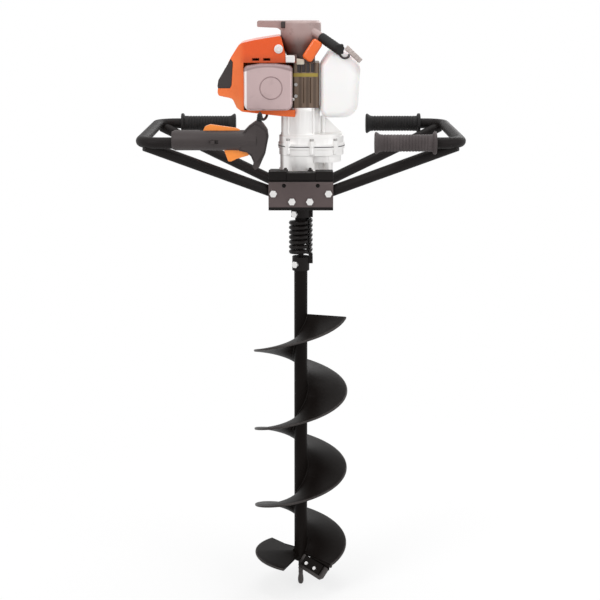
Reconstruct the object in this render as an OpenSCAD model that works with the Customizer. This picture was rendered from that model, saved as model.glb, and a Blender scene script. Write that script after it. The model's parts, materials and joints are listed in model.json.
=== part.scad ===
// Petrol earth auger: a two-handed drill frame with a small engine on top,
// a reduction gearbox, a torsion-spring coupling and a 200 mm helical bit.
// Millimetres. The origin is the pilot tip on the drill axis, +Z points up,
// -Y is the operator's throttle-hand front and -X the throttle side.

/* [Auger bit] */
// Height of the bare pilot point under the tube
pilot_len = 58; // [50:1:75]
// Diameter of the pilot point's rod
pilot_d = 12; // [8:1:16]
// Height of the twisted spear at the tip
spear_len = 22; // [16:1:28]
// Outer diameter of the auger tube
tube_d = 28; // [24:1:34]
// Wall of the auger tube
tube_wall = 3; // [2:0.5:4]
// Length of the auger tube
tube_len = 673; // [620:1:760]
// Diameter swept by the flights
flight_d = 200; // [150:5:240]
// Rise of the flights in one turn
flight_pitch = 174; // [150:1:180]
// Angle through which the main flight winds
flight_turn = 1112; // [1000:4:1160]
// Height of the plate of the flights
flight_t = 5; // [3:0.5:7]
// Height of the main flight's leading edge above the tube's foot
flight_lift = 11; // [8:1:16]
// Angle covered by the second, nearly level flight
second_turn = 117; // [90:1:130]
// Length of a cutting blade
blade_len = 78; // [60:1:84]
// Width of a cutting blade
blade_w = 30; // [26:1:36]
// Thickness of a cutting blade and of its holder
blade_t = 5; // [4:0.5:7]

/* [Drive spring] */
// Wire diameter of the coupling spring
wire_d = 9; // [7:0.5:9.5]
// Outer diameter of the coupling spring
spring_od = 50; // [46:1:56]
// Height of the spring between its two hubs
spring_h = 84; // [80:1:100]
// Turns of the spring
spring_turns = 7.25; // [6.25:0.25:7.25]
// Outer diameter of the upper hub
upper_hub_d = 40; // [36:1:46]
// Outer diameter of the lower hub
lower_hub_d = 36; // [34:1:42]
// Diameter of the output shaft
out_shaft_d = 20; // [16:1:22]

/* [Bracket and handle frame] */
// Width of the folded bracket
bracket_w = 130; // [116:1:150]
// Depth of the bracket, front to back
bracket_d = 200; // [190:1:220]
// Height of the bracket
bracket_h = 60; // [56:1:70]
// Sheet of the bracket
sheet_t = 4; // [3:0.5:5]
// Gap between the bracket and the spring's upper end
bracket_gap = 28; // [20:1:40]
// Diameter of the frame tubes
frame_d = 22; // [19:0.5:25]
// Wall of the frame tubes
frame_wall = 2; // [1.5:0.25:3]
// Distance between the two handlebar legs of one side
leg_gap = 380; // [340:5:420]
// Reach of the handlebars' cross tubes from the drill axis
cross_x = 311; // [300:1:340]
// Bend radius of the handlebars
bend_r = 40; // [35:1:55]
// Height of the handlebars above the bracket's top
bar_rise = 90; // [84:1:110]
// Bolt size of the frame
frame_bolt_d = 8; // [6:1:10]
// Distance between the two open holes of the front plate
accessory_spacing = 68; // [60:1:80]
// Diameter of the two open holes of the front plate
accessory_hole_d = 8.5; // [6:0.5:10]

/* [Grips] */
// Length of a grip
grip_len = 119; // [100:1:126]
// Body diameter of a grip
grip_d = 33; // [30:1:38]
// Diameter of the flange at a grip's outer end
grip_flange_d = 44; // [38:1:45]
// Diameter of the flared inner end
grip_end_d = 43; // [38:1:46]
// Depth of the rings round a grip
rib_depth = 0.8; // [0.4:0.1:1.2]

/* [Throttle handle] */
// Barrel diameter of the throttle handle
barrel_d = 39; // [37:1:42]
// Height of the barrel's middle above the bar it grips
barrel_lift = 5.5; // [3:0.5:5.5]
// Length of the throttle handle's barrel, up to the head
barrel_len = 150; // [140:1:160]
// Width of the throttle handle's head, along the bar
head_w = 36; // [32:1:44]
// Wall of the handle's two shells
shell_wall = 3; // [2:0.25:3.5]
// Thickness of the trigger
trigger_t = 10; // [8:0.5:12]
// Diameter of the pivot pins of the trigger and the lock lever
pivot_d = 4; // [3:0.5:5]
// Diameter of the throttle cable's sheath
cable_d = 6; // [5:0.5:7]

/* [Gearbox] */
// Height of the gearbox's lower casting
gearbox_lower_h = 62; // [58:1:72]
// Height of the gearbox's upper casting
gearbox_upper_h = 25; // [24:1:32]
// Wall of the gearbox castings
gearbox_wall = 5; // [4:0.5:6]
// Teeth of the first pinion
pinion1_teeth = 12; // [11:1:14]
// Teeth of the first wheel
wheel1_teeth = 58; // [56:1:60]
// Teeth of the second pinion
pinion2_teeth = 10; // [10:1:11]
// Tooth module of the second stage
module2 = 1.75; // [1.75:0.05:1.8]
// Teeth of the output wheel
wheel2_teeth = 40; // [38:2:42]
// Play between two meshing flanks
backlash = 0.2; // [0.15:0.05:0.3]

/* [Engine] */
// Height of the clutch housing
clutch_h = 54; // [50:1:60]
// Diameter of the clutch housing
clutch_d = 80; // [76:1:88]
// Diameter of the clutch drum
drum_d = 64; // [58:1:66]
// Height of the crankcase
crankcase_h = 90; // [84:1:100]
// Diameter of the crankshaft
crank_d = 15; // [12:1:18]
// Reach of the cylinder shroud to the throttle side
shroud_reach = 167; // [160:1:180]
// Wall of the shroud
shroud_wall = 3; // [2:0.5:4]
// Width of the muffler cover
muffler_w = 97; // [90:1:100]
// Height of the muffler cover
muffler_h = 92; // [86:1:92]
// Depth of the muffler cover
muffler_d = 40; // [34:1:44]

/* [Starter] */
// Diameter of the starter housing
starter_d = 82; // [78:1:90]
// Height of the starter housing
starter_h = 66; // [64:1:76]
// Diameter of the rope pulley
pulley_d = 50; // [44:1:54]
// Diameter of the starter rope
rope_d = 4; // [3:0.5:5]
// Length of the starter grip
pull_len = 45; // [38:1:50]

/* [Fuel tank] */
// Width of the tank
tank_w = 81; // [74:1:88]
// Height of the tank
tank_h = 137; // [130:1:142]
// Depth of the tank, front to back
tank_depth = 110; // [100:1:120]
// Wall of the tank
tank_wall = 3; // [2:0.5:4]
// Diameter of the fuel cap
cap_d = 42; // [36:1:44]

/* [Hidden] */
$fn = 48;

// Clearances: a seated fit, a running fit, a sliding gap and a free gap
seat = 0.05;
run = 0.06;
gap = 0.4;
free = 1;

// Levels up the drill axis
tube_r = tube_d / 2;
tube_z0 = pilot_len;
tube_z1 = tube_z0 + tube_len;
hub_cap = 7;
hub_grip = 22;
spring_z0 = tube_z1 + hub_cap;
spring_z1 = spring_z0 + spring_h;
bracket_z0 = spring_z1 + bracket_gap;
bracket_z1 = bracket_z0 + bracket_h;
bar_z = bracket_z1 + bar_rise - 3;
gearbox_z0 = bracket_z1;
split_z = gearbox_z0 + gearbox_lower_h;
gearbox_z1 = split_z + gearbox_upper_h;
clutch_z1 = gearbox_z1 + clutch_h;
crankcase_z1 = clutch_z1 + crankcase_h;
starter_z0 = crankcase_z1 + 16;
starter_z1 = starter_z0 + starter_h;

// Directions in the picture plane
bolt_turn = 35;

// Rounds each corner of an outline with an arc of the given radius
function corner_arc(p, a, b, r, n) =
  let (u = (a - p) / norm(a - p), v = (b - p) / norm(b - p),
       half = acos(max(-1, min(1, u * v))) / 2,
       cut = r / tan(half), mid = (u + v) / norm(u + v), c = p + mid * (r / sin(half)),
       s = p + u * cut - c, e = p + v * cut - c,
       a0 = atan2(s.y, s.x), sweep = (atan2(e.y, e.x) - a0 + 540) % 360 - 180)
  r <= 0 ? [p] : [for (i = [0 : n]) c + r * [cos(a0 + sweep * i / n), sin(a0 + sweep * i / n)]];
function rounded(pts, radii, n = 6) =
  [for (i = [0 : len(pts) - 1])
    each corner_arc(pts[i], pts[(i + len(pts) - 1) % len(pts)], pts[(i + 1) % len(pts)], radii[i], n)];

// Skin of a tube swept through rings of equal size, with flat ends
function ring_faces(n, k) = concat(
  [[for (j = [k - 1 : -1 : 0]) j]],
  [for (i = [0 : n - 2]) for (j = [0 : k - 1])
    each [[i * k + j, i * k + (j + 1) % k, (i + 1) * k + j],
          [i * k + (j + 1) % k, (i + 1) * k + (j + 1) % k, (i + 1) * k + j]]],
  [[for (j = [0 : k - 1]) (n - 1) * k + j]]);

// Points on a smooth curve through hand-placed points
function bend_point(a, b, c, d, t) =
  0.5 * (2 * b + (c - a) * t + (2 * a - 5 * b + 4 * c - d) * t * t + (3 * b - a - 3 * c + d) * t * t * t);
function smooth_route(p, n) = concat(
  [for (i = [0 : len(p) - 2]) for (j = [0 : n - 1])
    bend_point(p[max(i - 1, 0)], p[i], p[i + 1], p[min(i + 2, len(p) - 1)], j / n)],
  [p[len(p) - 1]]);

module between(a, b, r) {
  v = b - a;
  translate(a) rotate([0, acos(v.z / norm(v)), atan2(v.y, v.x)]) cylinder(h = norm(v), r = r);
}

// A tube with round section along a list of points
module swept_tube(p, r, sides) {
  n = len(p);
  rings = [for (i = [0 : n - 1])
    let (t = p[min(i + 1, n - 1)] - p[max(i - 1, 0)], w = t / norm(t),
         u0 = cross(w, abs(w.x) > 0.8 ? [0, 1, 0] : [1, 0, 0]), u = u0 / norm(u0), v = cross(w, u))
    for (j = [0 : sides - 1]) p[i] + r * (cos(360 * j / sides) * u + sin(360 * j / sides) * v)];
  polyhedron(rings, ring_faces(n, sides), convexity = 10);
}

// A hexagon-head bolt whose head stands on z = 0 and whose shank points down
module hex_bolt(d, len) {
  cylinder(h = 0.65 * d, d = 1.9 * d, $fn = 6);
  translate([0, 0, -len]) cylinder(h = len, d = d);
}

// Auger bit

// A helical plate from angle a0 to a1, with z0 the height of its mid plane at a0
module helical_plate(a0, a1, z0, pitch, r0, r1, t, step = 12) {
  n = ceil((a1 - a0) / step);
  pts = [for (i = [0 : n])
    let (a = a0 + (a1 - a0) * i / n, z = z0 + pitch * (a - a0) / 360)
    each [[r0 * cos(a), r0 * sin(a), z - t / 2], [r1 * cos(a), r1 * sin(a), z - t / 2],
          [r1 * cos(a), r1 * sin(a), z + t / 2], [r0 * cos(a), r0 * sin(a), z + t / 2]]];
  polyhedron(pts, ring_faces(n + 1, 4), convexity = 10);
}
lead_angle = -49;
lead_z = tube_z0 + flight_lift + flight_pitch * 11 / 360;
section_turn = flight_turn / 3;
section_gap = 0.15;
flight_r0 = tube_r + 0.25;

module flight_section(i) {
  a0 = lead_angle + i * section_turn;
  helical_plate(a0 + (i > 0 ? section_gap : 0), a0 + section_turn,
    lead_z + flight_pitch * i * section_turn / 360, flight_pitch, flight_r0, flight_d / 2, flight_t);
}
module flight_lower() { color("#282220") flight_section(0); }
module flight_middle() { color("#282220") flight_section(1); }
module flight_upper() { color("#282220") flight_section(2); }

second_pitch = 12;
module second_flight() {
  color("#282220")
    helical_plate(lead_angle + 180, lead_angle + 180 + second_turn, lead_z, second_pitch,
      flight_r0, flight_d / 2, flight_t);
}

module auger_tube() {
  color("#2b2624") difference() {
    translate([0, 0, tube_z0]) cylinder(h = tube_len, r = tube_r);
    translate([0, 0, tube_z0 - 1]) cylinder(h = tube_len + 2, r = tube_r - tube_wall);
    bit_bolt_place() translate([0, 0, -tube_d]) cylinder(h = 2 * tube_d, d = frame_bolt_d + 2 * seat);
  }
}

// Blades hang from the leading edge of each flight, raked down and forward
blade_rake = 50;
blade_dip = 7;
blade_mid = 52;
blade_bolt_pitch = 26;
blade_bolt_d = 8;
blade_drop = blade_w / 2 * sin(blade_rake) + flight_t / 2 + 1.5;
blade_lead = blade_w / 2 * cos(blade_rake) + 3;
module blade_place() {
  for (turn = [0, 180]) rotate([0, 0, lead_angle + turn])
    translate([blade_mid, -blade_lead, lead_z - blade_drop])
      rotate([0, blade_dip, 0]) rotate([blade_rake, 0, 0]) children();
}
module blade_holes() {
  for (s = [-1, 1]) translate([s * blade_bolt_pitch / 2, 0, -2 * blade_t])
    cylinder(h = 6 * blade_t, d = blade_bolt_d + 2 * seat);
}
module cutting_blades() {
  tip = 7;
  color("#332d2b") blade_place() difference() {
    translate([0, 0, -blade_t]) linear_extrude(blade_t)
      polygon([[-blade_len / 2, -blade_w / 2 + tip], [-blade_len / 2 + tip, -blade_w / 2],
        [blade_len / 2 - tip, -blade_w / 2], [blade_len / 2, -blade_w / 2 + tip],
        [blade_len / 2, blade_w / 2], [-blade_len / 2, blade_w / 2]]);
    blade_holes();
  }
}
module blade_holders() {
  holder_len = blade_len - 22;
  holder_w = blade_w - 7;
  color("#2b2624") blade_place() difference() {
    translate([-holder_len / 2, blade_w / 2 - holder_w, 0]) cube([holder_len, holder_w, blade_t]);
    blade_holes();
  }
}
module blade_bolts() {
  color("#e8e6e4") blade_place() for (s = [-1, 1]) translate([s * blade_bolt_pitch / 2, 0, -blade_t])
    rotate([180, 0, 0]) hex_bolt(blade_bolt_d, 2 * blade_t + 4);
}

module pilot_point() {
  shank = 14;
  spear_w = 1.35 * pilot_d;
  color("#2b2624") {
    translate([0, 0, spear_len - 1]) cylinder(h = tube_z0 - spear_len + 1, d = pilot_d);
    translate([0, 0, tube_z0]) cylinder(h = shank, r = tube_r - tube_wall - seat);
    translate([0, 0, spear_len]) rotate([180, 0, 0])
      linear_extrude(spear_len, twist = 150, slices = 10, scale = 0.12)
        square([spear_w, 0.55 * pilot_d], center = true);
  }
}

// Spring coupling between the bit and the output shaft
pin_d = 12;
spigot_d = 24;
spigot_len = 50;
pin_len = spring_h - spigot_len + 30;
hub_bolt_z = spring_z1 + 7.5;
bit_bolt_z = tube_z1 - 8;
upper_hub_len = 50;
shaft_seat = 12;
module bit_bolt_place() { translate([0, 0, bit_bolt_z]) rotate([90, 0, -bolt_turn]) children(); }
module hub_bolt_place() { translate([0, 0, hub_bolt_z]) rotate([90, 0, -bolt_turn]) children(); }

module lower_hub() {
  lug = [8, 14, 14];
  color("#332d2b") difference() {
    union() {
      translate([0, 0, tube_z1 - hub_grip]) cylinder(h = hub_grip + hub_cap, d = lower_hub_d);
      translate([0, 0, spring_z0 - 1]) cylinder(h = pin_len + 1, d = pin_d);
      translate([lower_hub_d / 2 - 1, -lug.y / 2, spring_z0 - lug.z]) cube(lug);
    }
    translate([0, 0, tube_z1 - hub_grip - 1]) cylinder(h = hub_grip + 1 + seat, r = tube_r + seat);
    bit_bolt_place() translate([0, 0, -lower_hub_d]) cylinder(h = 2 * lower_hub_d, d = frame_bolt_d + 2 * seat);
  }
}
module bit_bolt() {
  color("#e8e6e4") bit_bolt_place() translate([0, 0, lower_hub_d / 2]) hex_bolt(frame_bolt_d, lower_hub_d + 5);
}
module upper_hub() {
  lug = [6, 14, 14];
  color("#332d2b") difference() {
    union() {
      translate([0, 0, spring_z1]) cylinder(h = upper_hub_len, d = upper_hub_d);
      translate([0, 0, spring_z1 - spigot_len]) cylinder(h = spigot_len + 1, d = spigot_d);
      translate([upper_hub_d / 2 - 1, -lug.y / 2, spring_z1]) cube(lug);
    }
    translate([0, 0, spring_z1 - spigot_len - 1]) cylinder(h = pin_len - spring_h + spigot_len + 4, d = pin_d + 2 * run);
    translate([0, 0, spring_z1 - shaft_seat]) cylinder(h = upper_hub_len + shaft_seat + 1, d = out_shaft_d + 2 * seat);
    hub_bolt_place() translate([0, 0, -upper_hub_d]) cylinder(h = 2 * upper_hub_d, d = frame_bolt_d + 2 * seat);
  }
}
module hub_bolt() {
  color("#e8e6e4") hub_bolt_place() translate([0, 0, upper_hub_d / 2]) hex_bolt(frame_bolt_d, upper_hub_d + 5);
}

// The spring is one wire: a helix whose two ends run straight for one diameter
coil_r = (spring_od - wire_d) / 2;
coil_z0 = spring_z0 + wire_d / 2 + 0.4;
coil_rise = spring_h - wire_d - 0.8;
coil_steps = 8;
coil_n = ceil(spring_turns * coil_steps);
function coil_point(i) = let (a = 360 * spring_turns * i / coil_n)
  [coil_r * cos(a), coil_r * sin(a), coil_z0 + coil_rise * i / coil_n];
coil = [for (i = [0 : coil_n]) coil_point(i)];
function straight_on(p, q, d) = q + d * [q.x - p.x, q.y - p.y, 0] / norm([q.x - p.x, q.y - p.y]);
spring_path = concat([straight_on(coil[1], coil[0], wire_d)], coil,
  [straight_on(coil[coil_n - 1], coil[coil_n], wire_d)]);
spring_gap = min([for (i = [0 : len(spring_path) - 1]) for (j = [i + coil_steps - 2 : 1 : len(spring_path) - 1])
  norm(spring_path[i] - spring_path[j])]) - wire_d;
module coupling_spring() {
  echo(least_gap_of_spring_to_itself = spring_gap);
  color("#332d2b") swept_tube(spring_path, wire_d / 2, 6);
}

// Bracket and handle frame
leg_y = leg_gap / 2;
frame_r = frame_d / 2;
plate_y = bracket_d / 2;
lip = 14;
strut_bolt_x = [18, 55.5];
strut_bolt_z = bracket_z0 + 19;
accessory_z = bracket_z1 - 9;
strut_in_x = 6;
strut_exit_y = plate_y - sheet_t - 1.08 * frame_r - 0.5;
strut_end = [cross_x - 13, leg_y - 14, bar_z - 8];
boss_d = 56;
foot_t = 8;
foot_y = 62;
foot_bolt_x = [-31, 19];
foot_bolt_y = 55;
foot_bolt_d = 6;

// The struts' centre line as a function of its distance from the drill axis
function strut_y(x) = strut_exit_y + (strut_end.y - strut_exit_y) * (x - bracket_w / 2) / (strut_end.x - bracket_w / 2);
function strut_z(x) = strut_bolt_z + (strut_end.z - strut_bolt_z) * (x - strut_bolt_x[0]) / (strut_end.x - strut_bolt_x[0]);
function strut_at(x) = [x, -strut_y(x), strut_z(x)];

module bracket_outline(d, low) {
  polygon(rounded([[-plate_y + d, bracket_z0 + low], [plate_y - d, bracket_z0 + low],
    [plate_y - d, bracket_z1 - d], [-plate_y + d, bracket_z1 - d]], [for (i = [0 : 3]) 7 - d], 4));
}
module strut_bolt_places() {
  for (turn = [0, 180]) rotate([0, 0, turn]) for (s = [-1, 1]) for (x = strut_bolt_x)
    translate([s * x, -plate_y, strut_z(x)]) rotate([90, 0, 0]) children();
}
module bracket() {
  color("#2d2726") difference() {
    rotate([90, 0, 90]) translate([0, 0, -bracket_w / 2]) linear_extrude(bracket_w) difference() {
      bracket_outline(0, 0);
      bracket_outline(sheet_t, sheet_t);
      translate([-plate_y + lip, bracket_z0 - 1]) square([bracket_d - 2 * lip, sheet_t + 3]);
    }
    translate([0, 0, bracket_z0]) cylinder(h = bracket_h + 1, d = boss_d + 2 * free);
    for (x = foot_bolt_x) for (s = [-1, 1]) translate([x, s * foot_bolt_y, bracket_z1 - 2 * sheet_t])
      cylinder(h = 3 * sheet_t, d = foot_bolt_d + 2 * seat);
    strut_bolt_places() translate([0, 0, -2 * sheet_t]) cylinder(h = 3 * sheet_t, d = frame_bolt_d + 2 * seat);
    for (s = [-1, 1]) translate([s * accessory_spacing / 2, -plate_y + 2 * sheet_t, accessory_z])
      rotate([90, 0, 0]) cylinder(h = 3 * sheet_t, d = accessory_hole_d);
  }
}
module gearbox_clamps() {
  block = [36, 33, 19];
  color("#34302c") for (s = [-1, 1])
    translate([s * (bracket_w / 2 - block.x / 2), -foot_y - 0.6 - block.y / 2, bracket_z1 + block.z / 2])
      cube(block, center = true);
}
module frame_bolts() {
  reach = 46;
  color("#e8e6e4") strut_bolt_places() hex_bolt(frame_bolt_d, reach);
  color("#34302c") for (x = foot_bolt_x) for (s = [-1, 1]) translate([x, s * foot_bolt_y, gearbox_z0 + foot_t])
    hex_bolt(foot_bolt_d, foot_t + sheet_t + 4);
}

grip_x1 = cross_x - bend_r - 10;
grip_x0 = grip_x1 - grip_len;
grip_base = 5;
handle_x1 = cross_x - bend_r - 23;
head_x = handle_x1 - barrel_len;
barrel_bite = 80;

// Centre-line solid of one handlebar on the +X side, with the two legs' inner ends given
module bar_rod(r, front_x, back_x) {
  translate([0, 0, bar_z]) {
    for (s = [-1, 1]) {
      x0 = s < 0 ? front_x : back_x;
      translate([x0, s * leg_y, 0]) rotate([0, 90, 0]) cylinder(h = cross_x - bend_r - x0, r = r);
      translate([cross_x - bend_r, s * (leg_y - bend_r), 0]) rotate([0, 0, s < 0 ? -90 : 0])
        rotate_extrude(angle = 90) translate([bend_r, 0]) circle(r = r);
    }
    translate([cross_x, -leg_y + bend_r, 0]) rotate([-90, 0, 0]) cylinder(h = leg_gap - 2 * bend_r, r = r);
  }
}
module handlebar(front_x, back_x) {
  color("#25201f") difference() {
    bar_rod(frame_r, front_x, back_x);
    bar_rod(frame_r - frame_wall, front_x - 1, back_x - 1);
  }
}
leg_x0 = grip_x0 + grip_base + free;
module handlebar_right() { handlebar(leg_x0, leg_x0); }
module handlebar_left() { mirror([1, 0, 0]) handlebar(handle_x1 - barrel_bite, leg_x0); }

strut_plug = 30;
module strut() {
  color("#25201f") difference() {
    between(strut_at(strut_in_x), strut_at(strut_end.x + 4), frame_r);
    between(strut_at(strut_in_x - 1), strut_at(strut_end.x - strut_plug), frame_r - frame_wall);
    bar_rod(frame_r + 0.1, leg_x0, leg_x0);
    for (x = strut_bolt_x) translate([x, 0, strut_z(x)]) rotate([90, 0, 0])
      cylinder(h = plate_y, d = frame_bolt_d + 2 * seat);
  }
}
module strut_front_right() { strut(); }
module strut_front_left() { mirror([1, 0, 0]) strut(); }
module strut_back_right() { mirror([0, 1, 0]) strut(); }
module strut_back_left() { rotate([0, 0, 180]) strut(); }

// A moulded grip turned about its own length, ringed between its two collars
rib_pitch = 6;
module grip() {
  body_r = grip_d / 2;
  end_r = grip_end_d / 2;
  flange_r = grip_flange_d / 2;
  bore_r = frame_r + seat;
  collar = 6;
  flare = 12;
  rib_n = floor((grip_len - flare - collar - 8) / rib_pitch);
  ribs = [for (i = [0 : rib_n - 1]) let (a = flare + 4 + i * rib_pitch)
    each [[body_r, a], [body_r - rib_depth, a + 0.8], [body_r - rib_depth, a + 1.8], [body_r, a + 2.6]]];
  outline = concat([[0, 0], [end_r - 3, 0], [end_r - 0.8, 1], [end_r, 3], [end_r - 0.8, 5], [body_r + 1.2, 9], [body_r, flare]],
    ribs, [[body_r, grip_len - collar - 2], [flange_r - 1, grip_len - collar], [flange_r, grip_len - collar + 1],
    [flange_r, grip_len - 1], [flange_r - 1, grip_len], [bore_r, grip_len], [bore_r, grip_base], [0, grip_base]]);
  color("#241f1e") translate([grip_x0, -leg_y, bar_z]) rotate([0, 90, 0]) rotate_extrude() polygon(outline);
}
module grip_front_right() { grip(); }
module grip_back_right() { mirror([0, 1, 0]) grip(); }
module grip_back_left() { rotate([0, 0, 180]) grip(); }

// Throttle handle, drawn from the head's inner edge and the bar's height
barrel_r = barrel_d / 2;
split_y = -leg_y;
pivot_r = pivot_d / 2;
trigger_pivot = [-head_x - 8, bar_z - 8];
lever_pivot = [-head_x - 24, bar_z + frame_r + 3];
slot_w = trigger_t + 2 * gap;
lever_t = 8;
lever_len = 68;
lever_slot_w = lever_t + 2 * gap;
switch_x = -head_x - 68;
switch_l = 8;
switch_travel = 6;
switch_h = 6;
switch_depth = 4;
head_half = 17;
module in_handle(w) { translate([0, split_y + w / 2, 0]) rotate([90, 0, 0]) linear_extrude(w) children(); }
module head_outline() {
  corners = [[-20, -14], [-7, -16], [2, -24], [7, -36], [5, -45], [10, -51], [18, -45], [head_w - 6, -18],
    [head_w, 12], [head_w - 2, 26], [head_w - 11, 39], [12, 43], [-2, 33], [-20, 14]];
  polygon(rounded([for (c = corners) [-head_x, bar_z] + c], [1, 5, 4, 3, 2, 2, 6, 8, 8, 5, 5, 5, 8, 1], 3));
}
module head_core() {
  corners = [[-16, -10], [4, -20], [12, -38], [head_w - 9, -16], [head_w - 4, 12], [head_w - 6, 24], [12, 37], [-2, 28], [-16, 10]];
  polygon(rounded([for (c = corners) [-head_x, bar_z] + c], [1, 4, 4, 6, 6, 6, 6, 6, 1], 3));
}
// Moves every edge of a counter-clockwise outline inwards
function inset(p, d) = [for (i = [0 : len(p) - 1])
  let (a = p[(i + len(p) - 1) % len(p)], b = p[i], c = p[(i + 1) % len(p)],
       u = (b - a) / norm(b - a), v = (c - b) / norm(c - b), n1 = [-u.y, u.x], n2 = [-v.y, v.x])
  b + d * (n1 + n2) / (1 + n1 * n2)];
module handle_body() {
  lead_in = 6;
  translate([-handle_x1, split_y, bar_z + barrel_lift]) rotate([0, 90, 0]) {
    cylinder(h = lead_in, r1 = barrel_r - 3, r2 = barrel_r);
    translate([0, 0, lead_in]) cylinder(h = barrel_len - lead_in + head_w / 3, r = barrel_r);
  }
  in_handle(2 * head_half - 8) head_outline();
  in_handle(2 * head_half) head_core();
}
module handle_space() {
  translate([-handle_x1 - 1, split_y, bar_z]) rotate([0, 90, 0]) cylinder(h = barrel_bite + 1 + free, r = frame_r + seat);
  in_handle(slot_w) polygon([[trigger_pivot.x - 46, bar_z - 60], [trigger_pivot.x + 11, bar_z - 60],
    [trigger_pivot.x + 11, bar_z - 2], [trigger_pivot.x, bar_z + 5], [trigger_pivot.x - 46, bar_z + 8]]);
  in_handle(lever_slot_w) translate([lever_pivot.x - lever_len - 4, bar_z + frame_r + 1.5]) square([lever_len + 12, barrel_r]);
  in_handle(lever_slot_w) translate([lever_pivot.x - 10, lever_pivot.y - 8]) square([18, barrel_r]);
  translate([switch_x, split_y - barrel_r + switch_depth / 2 - 4, bar_z + 4])
    cube([switch_l + switch_travel + 4 * gap, switch_depth + 8, switch_h + 2 * gap], center = true);
  translate([-head_x + 18, split_y, bar_z + 30]) cylinder(h = 30, d = cable_d + 2 * seat);
}
module pivot_places() {
  for (p = [trigger_pivot, lever_pivot]) translate([p.x, split_y, p.y]) rotate([90, 0, 0]) children();
}
module handle_half(s) {
  intersection() {
    difference() {
      handle_body();
      handle_space();
    }
    translate([-handle_x1 - 5, s < 0 ? split_y - 2 * barrel_d : split_y, bar_z - 2 * barrel_d])
      cube([barrel_len + 2 * head_w, 2 * barrel_d, 4 * barrel_d]);
  }
}
module handle_shell_front() {
  color("#3a3433") difference() {
    handle_half(-1);
    pivot_places() cylinder(h = slot_w / 2 + 4, r = pivot_r + seat);
  }
}
module handle_shell_back() {
  color("#3a3433") {
    handle_half(1);
    pivot_places() translate([0, 0, -slot_w / 2 - 1]) cylinder(h = slot_w + 4, r = pivot_r);
  }
}
module throttle_trigger() {
  blade = [[-40, -1], [-42, -5], [-34, -27], [-28, -27], [-18, -22], [7, -15], [6, 2], [0, 5], [-8, 3]];
  color("#f08c32") difference() {
    in_handle(trigger_t) polygon(rounded([for (b = blade) trigger_pivot + b], [1, 2, 2, 3, 6, 4, 3, 3, 3], 4));
    translate([trigger_pivot.x, split_y, trigger_pivot.y]) rotate([90, 0, 0])
      cylinder(h = 2 * trigger_t, r = pivot_r + run, center = true);
  }
}
module lock_lever() {
  top = [[-lever_len, 5.5], [5, 5.5], [5, 12], [-2, 15], [16 - lever_len, 22], [6 - lever_len, 18]];
  color("#f08c32") difference() {
    union() {
      in_handle(lever_t) polygon(rounded([for (t = top) lever_pivot + t], [2, 0, 3, 6, 8, 6], 4));
      in_handle(lever_t) translate([lever_pivot.x - 4.5, lever_pivot.y - 4]) square([9, 12]);
    }
    translate([lever_pivot.x, split_y, lever_pivot.y]) rotate([90, 0, 0])
      cylinder(h = 2 * lever_t, r = pivot_r + run, center = true);
  }
}
module stop_switch() {
  color("#1c1918") translate([switch_x - switch_travel / 2, split_y - barrel_r + switch_depth - 4.5, bar_z + 4])
    cube([switch_l, switch_depth + 5 - gap, switch_h], center = true);
}

// Gearbox: two spur stages folded back on the drill axis
pressure = 25;
addendum = 0.9;
dedendum = 1.2;
centre_d = module2 * (pinion2_teeth + wheel2_teeth) / 2;
module1 = 2 * centre_d / (pinion1_teeth + wheel1_teeth);
floor_z = gearbox_z0 + gearbox_wall;
wheel2_z = floor_z + 4;
wheel2_w = 16;
wheel1_z = wheel2_z + wheel2_w + 6;
wheel1_w = 10;
cavity_r = max(module2 * (wheel2_teeth / 2 + addendum), module1 * (wheel1_teeth / 2 + addendum)) + 2;
case_r = cavity_r + gearbox_wall;
lay_d = 12;
lay_bearing = [lay_d + 2 * run, 26, 5];
out_bearing = [out_shaft_d + 2 * run, 42, 18];
in_shaft_d = 15;
in_bearing = [in_shaft_d + 2 * run, 32, 12];
lay_foot_d = 10;
foot_bearing = [lay_foot_d + 2 * run, 24, 5];
boss_z0 = gearbox_z0 - 14;

// Involute tooth: flank angle at radius r, in degrees from the tooth's middle
function involute(a) = tan(a) - a * PI / 180;
function flank(z, m, r) = let (rb = z * m / 2 * cos(pressure), rr = max(r, rb))
  90 / z - backlash / 2 / (z * m / 2) * 180 / PI
  + (involute(pressure) - involute(acos(min(1, rb / rr)))) * 180 / PI;
function gear_points(z, m, phase) =
  let (rp = z * m / 2, root = rp - dedendum * m, tip = rp + addendum * m,
       low = max(root + 0.2 * m, rp * cos(pressure)), radii = [root, low, (low + tip) / 2, tip])
  [for (i = [0 : z - 1]) let (a = phase + 360 * i / z)
    each concat([for (k = [0 : 3]) radii[k] * [cos(a - flank(z, m, radii[k])), sin(a - flank(z, m, radii[k]))]],
                [for (k = [3 : -1 : 0]) radii[k] * [cos(a + flank(z, m, radii[k])), sin(a + flank(z, m, radii[k]))]])];
module spur_gear(z, m, phase, w) { linear_extrude(w) polygon(gear_points(z, m, phase)); }
module ring(d) {
  difference() {
    cylinder(h = d[2], d = d[1]);
    translate([0, 0, -1]) cylinder(h = d[2] + 2, d = d[0]);
  }
}

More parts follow.
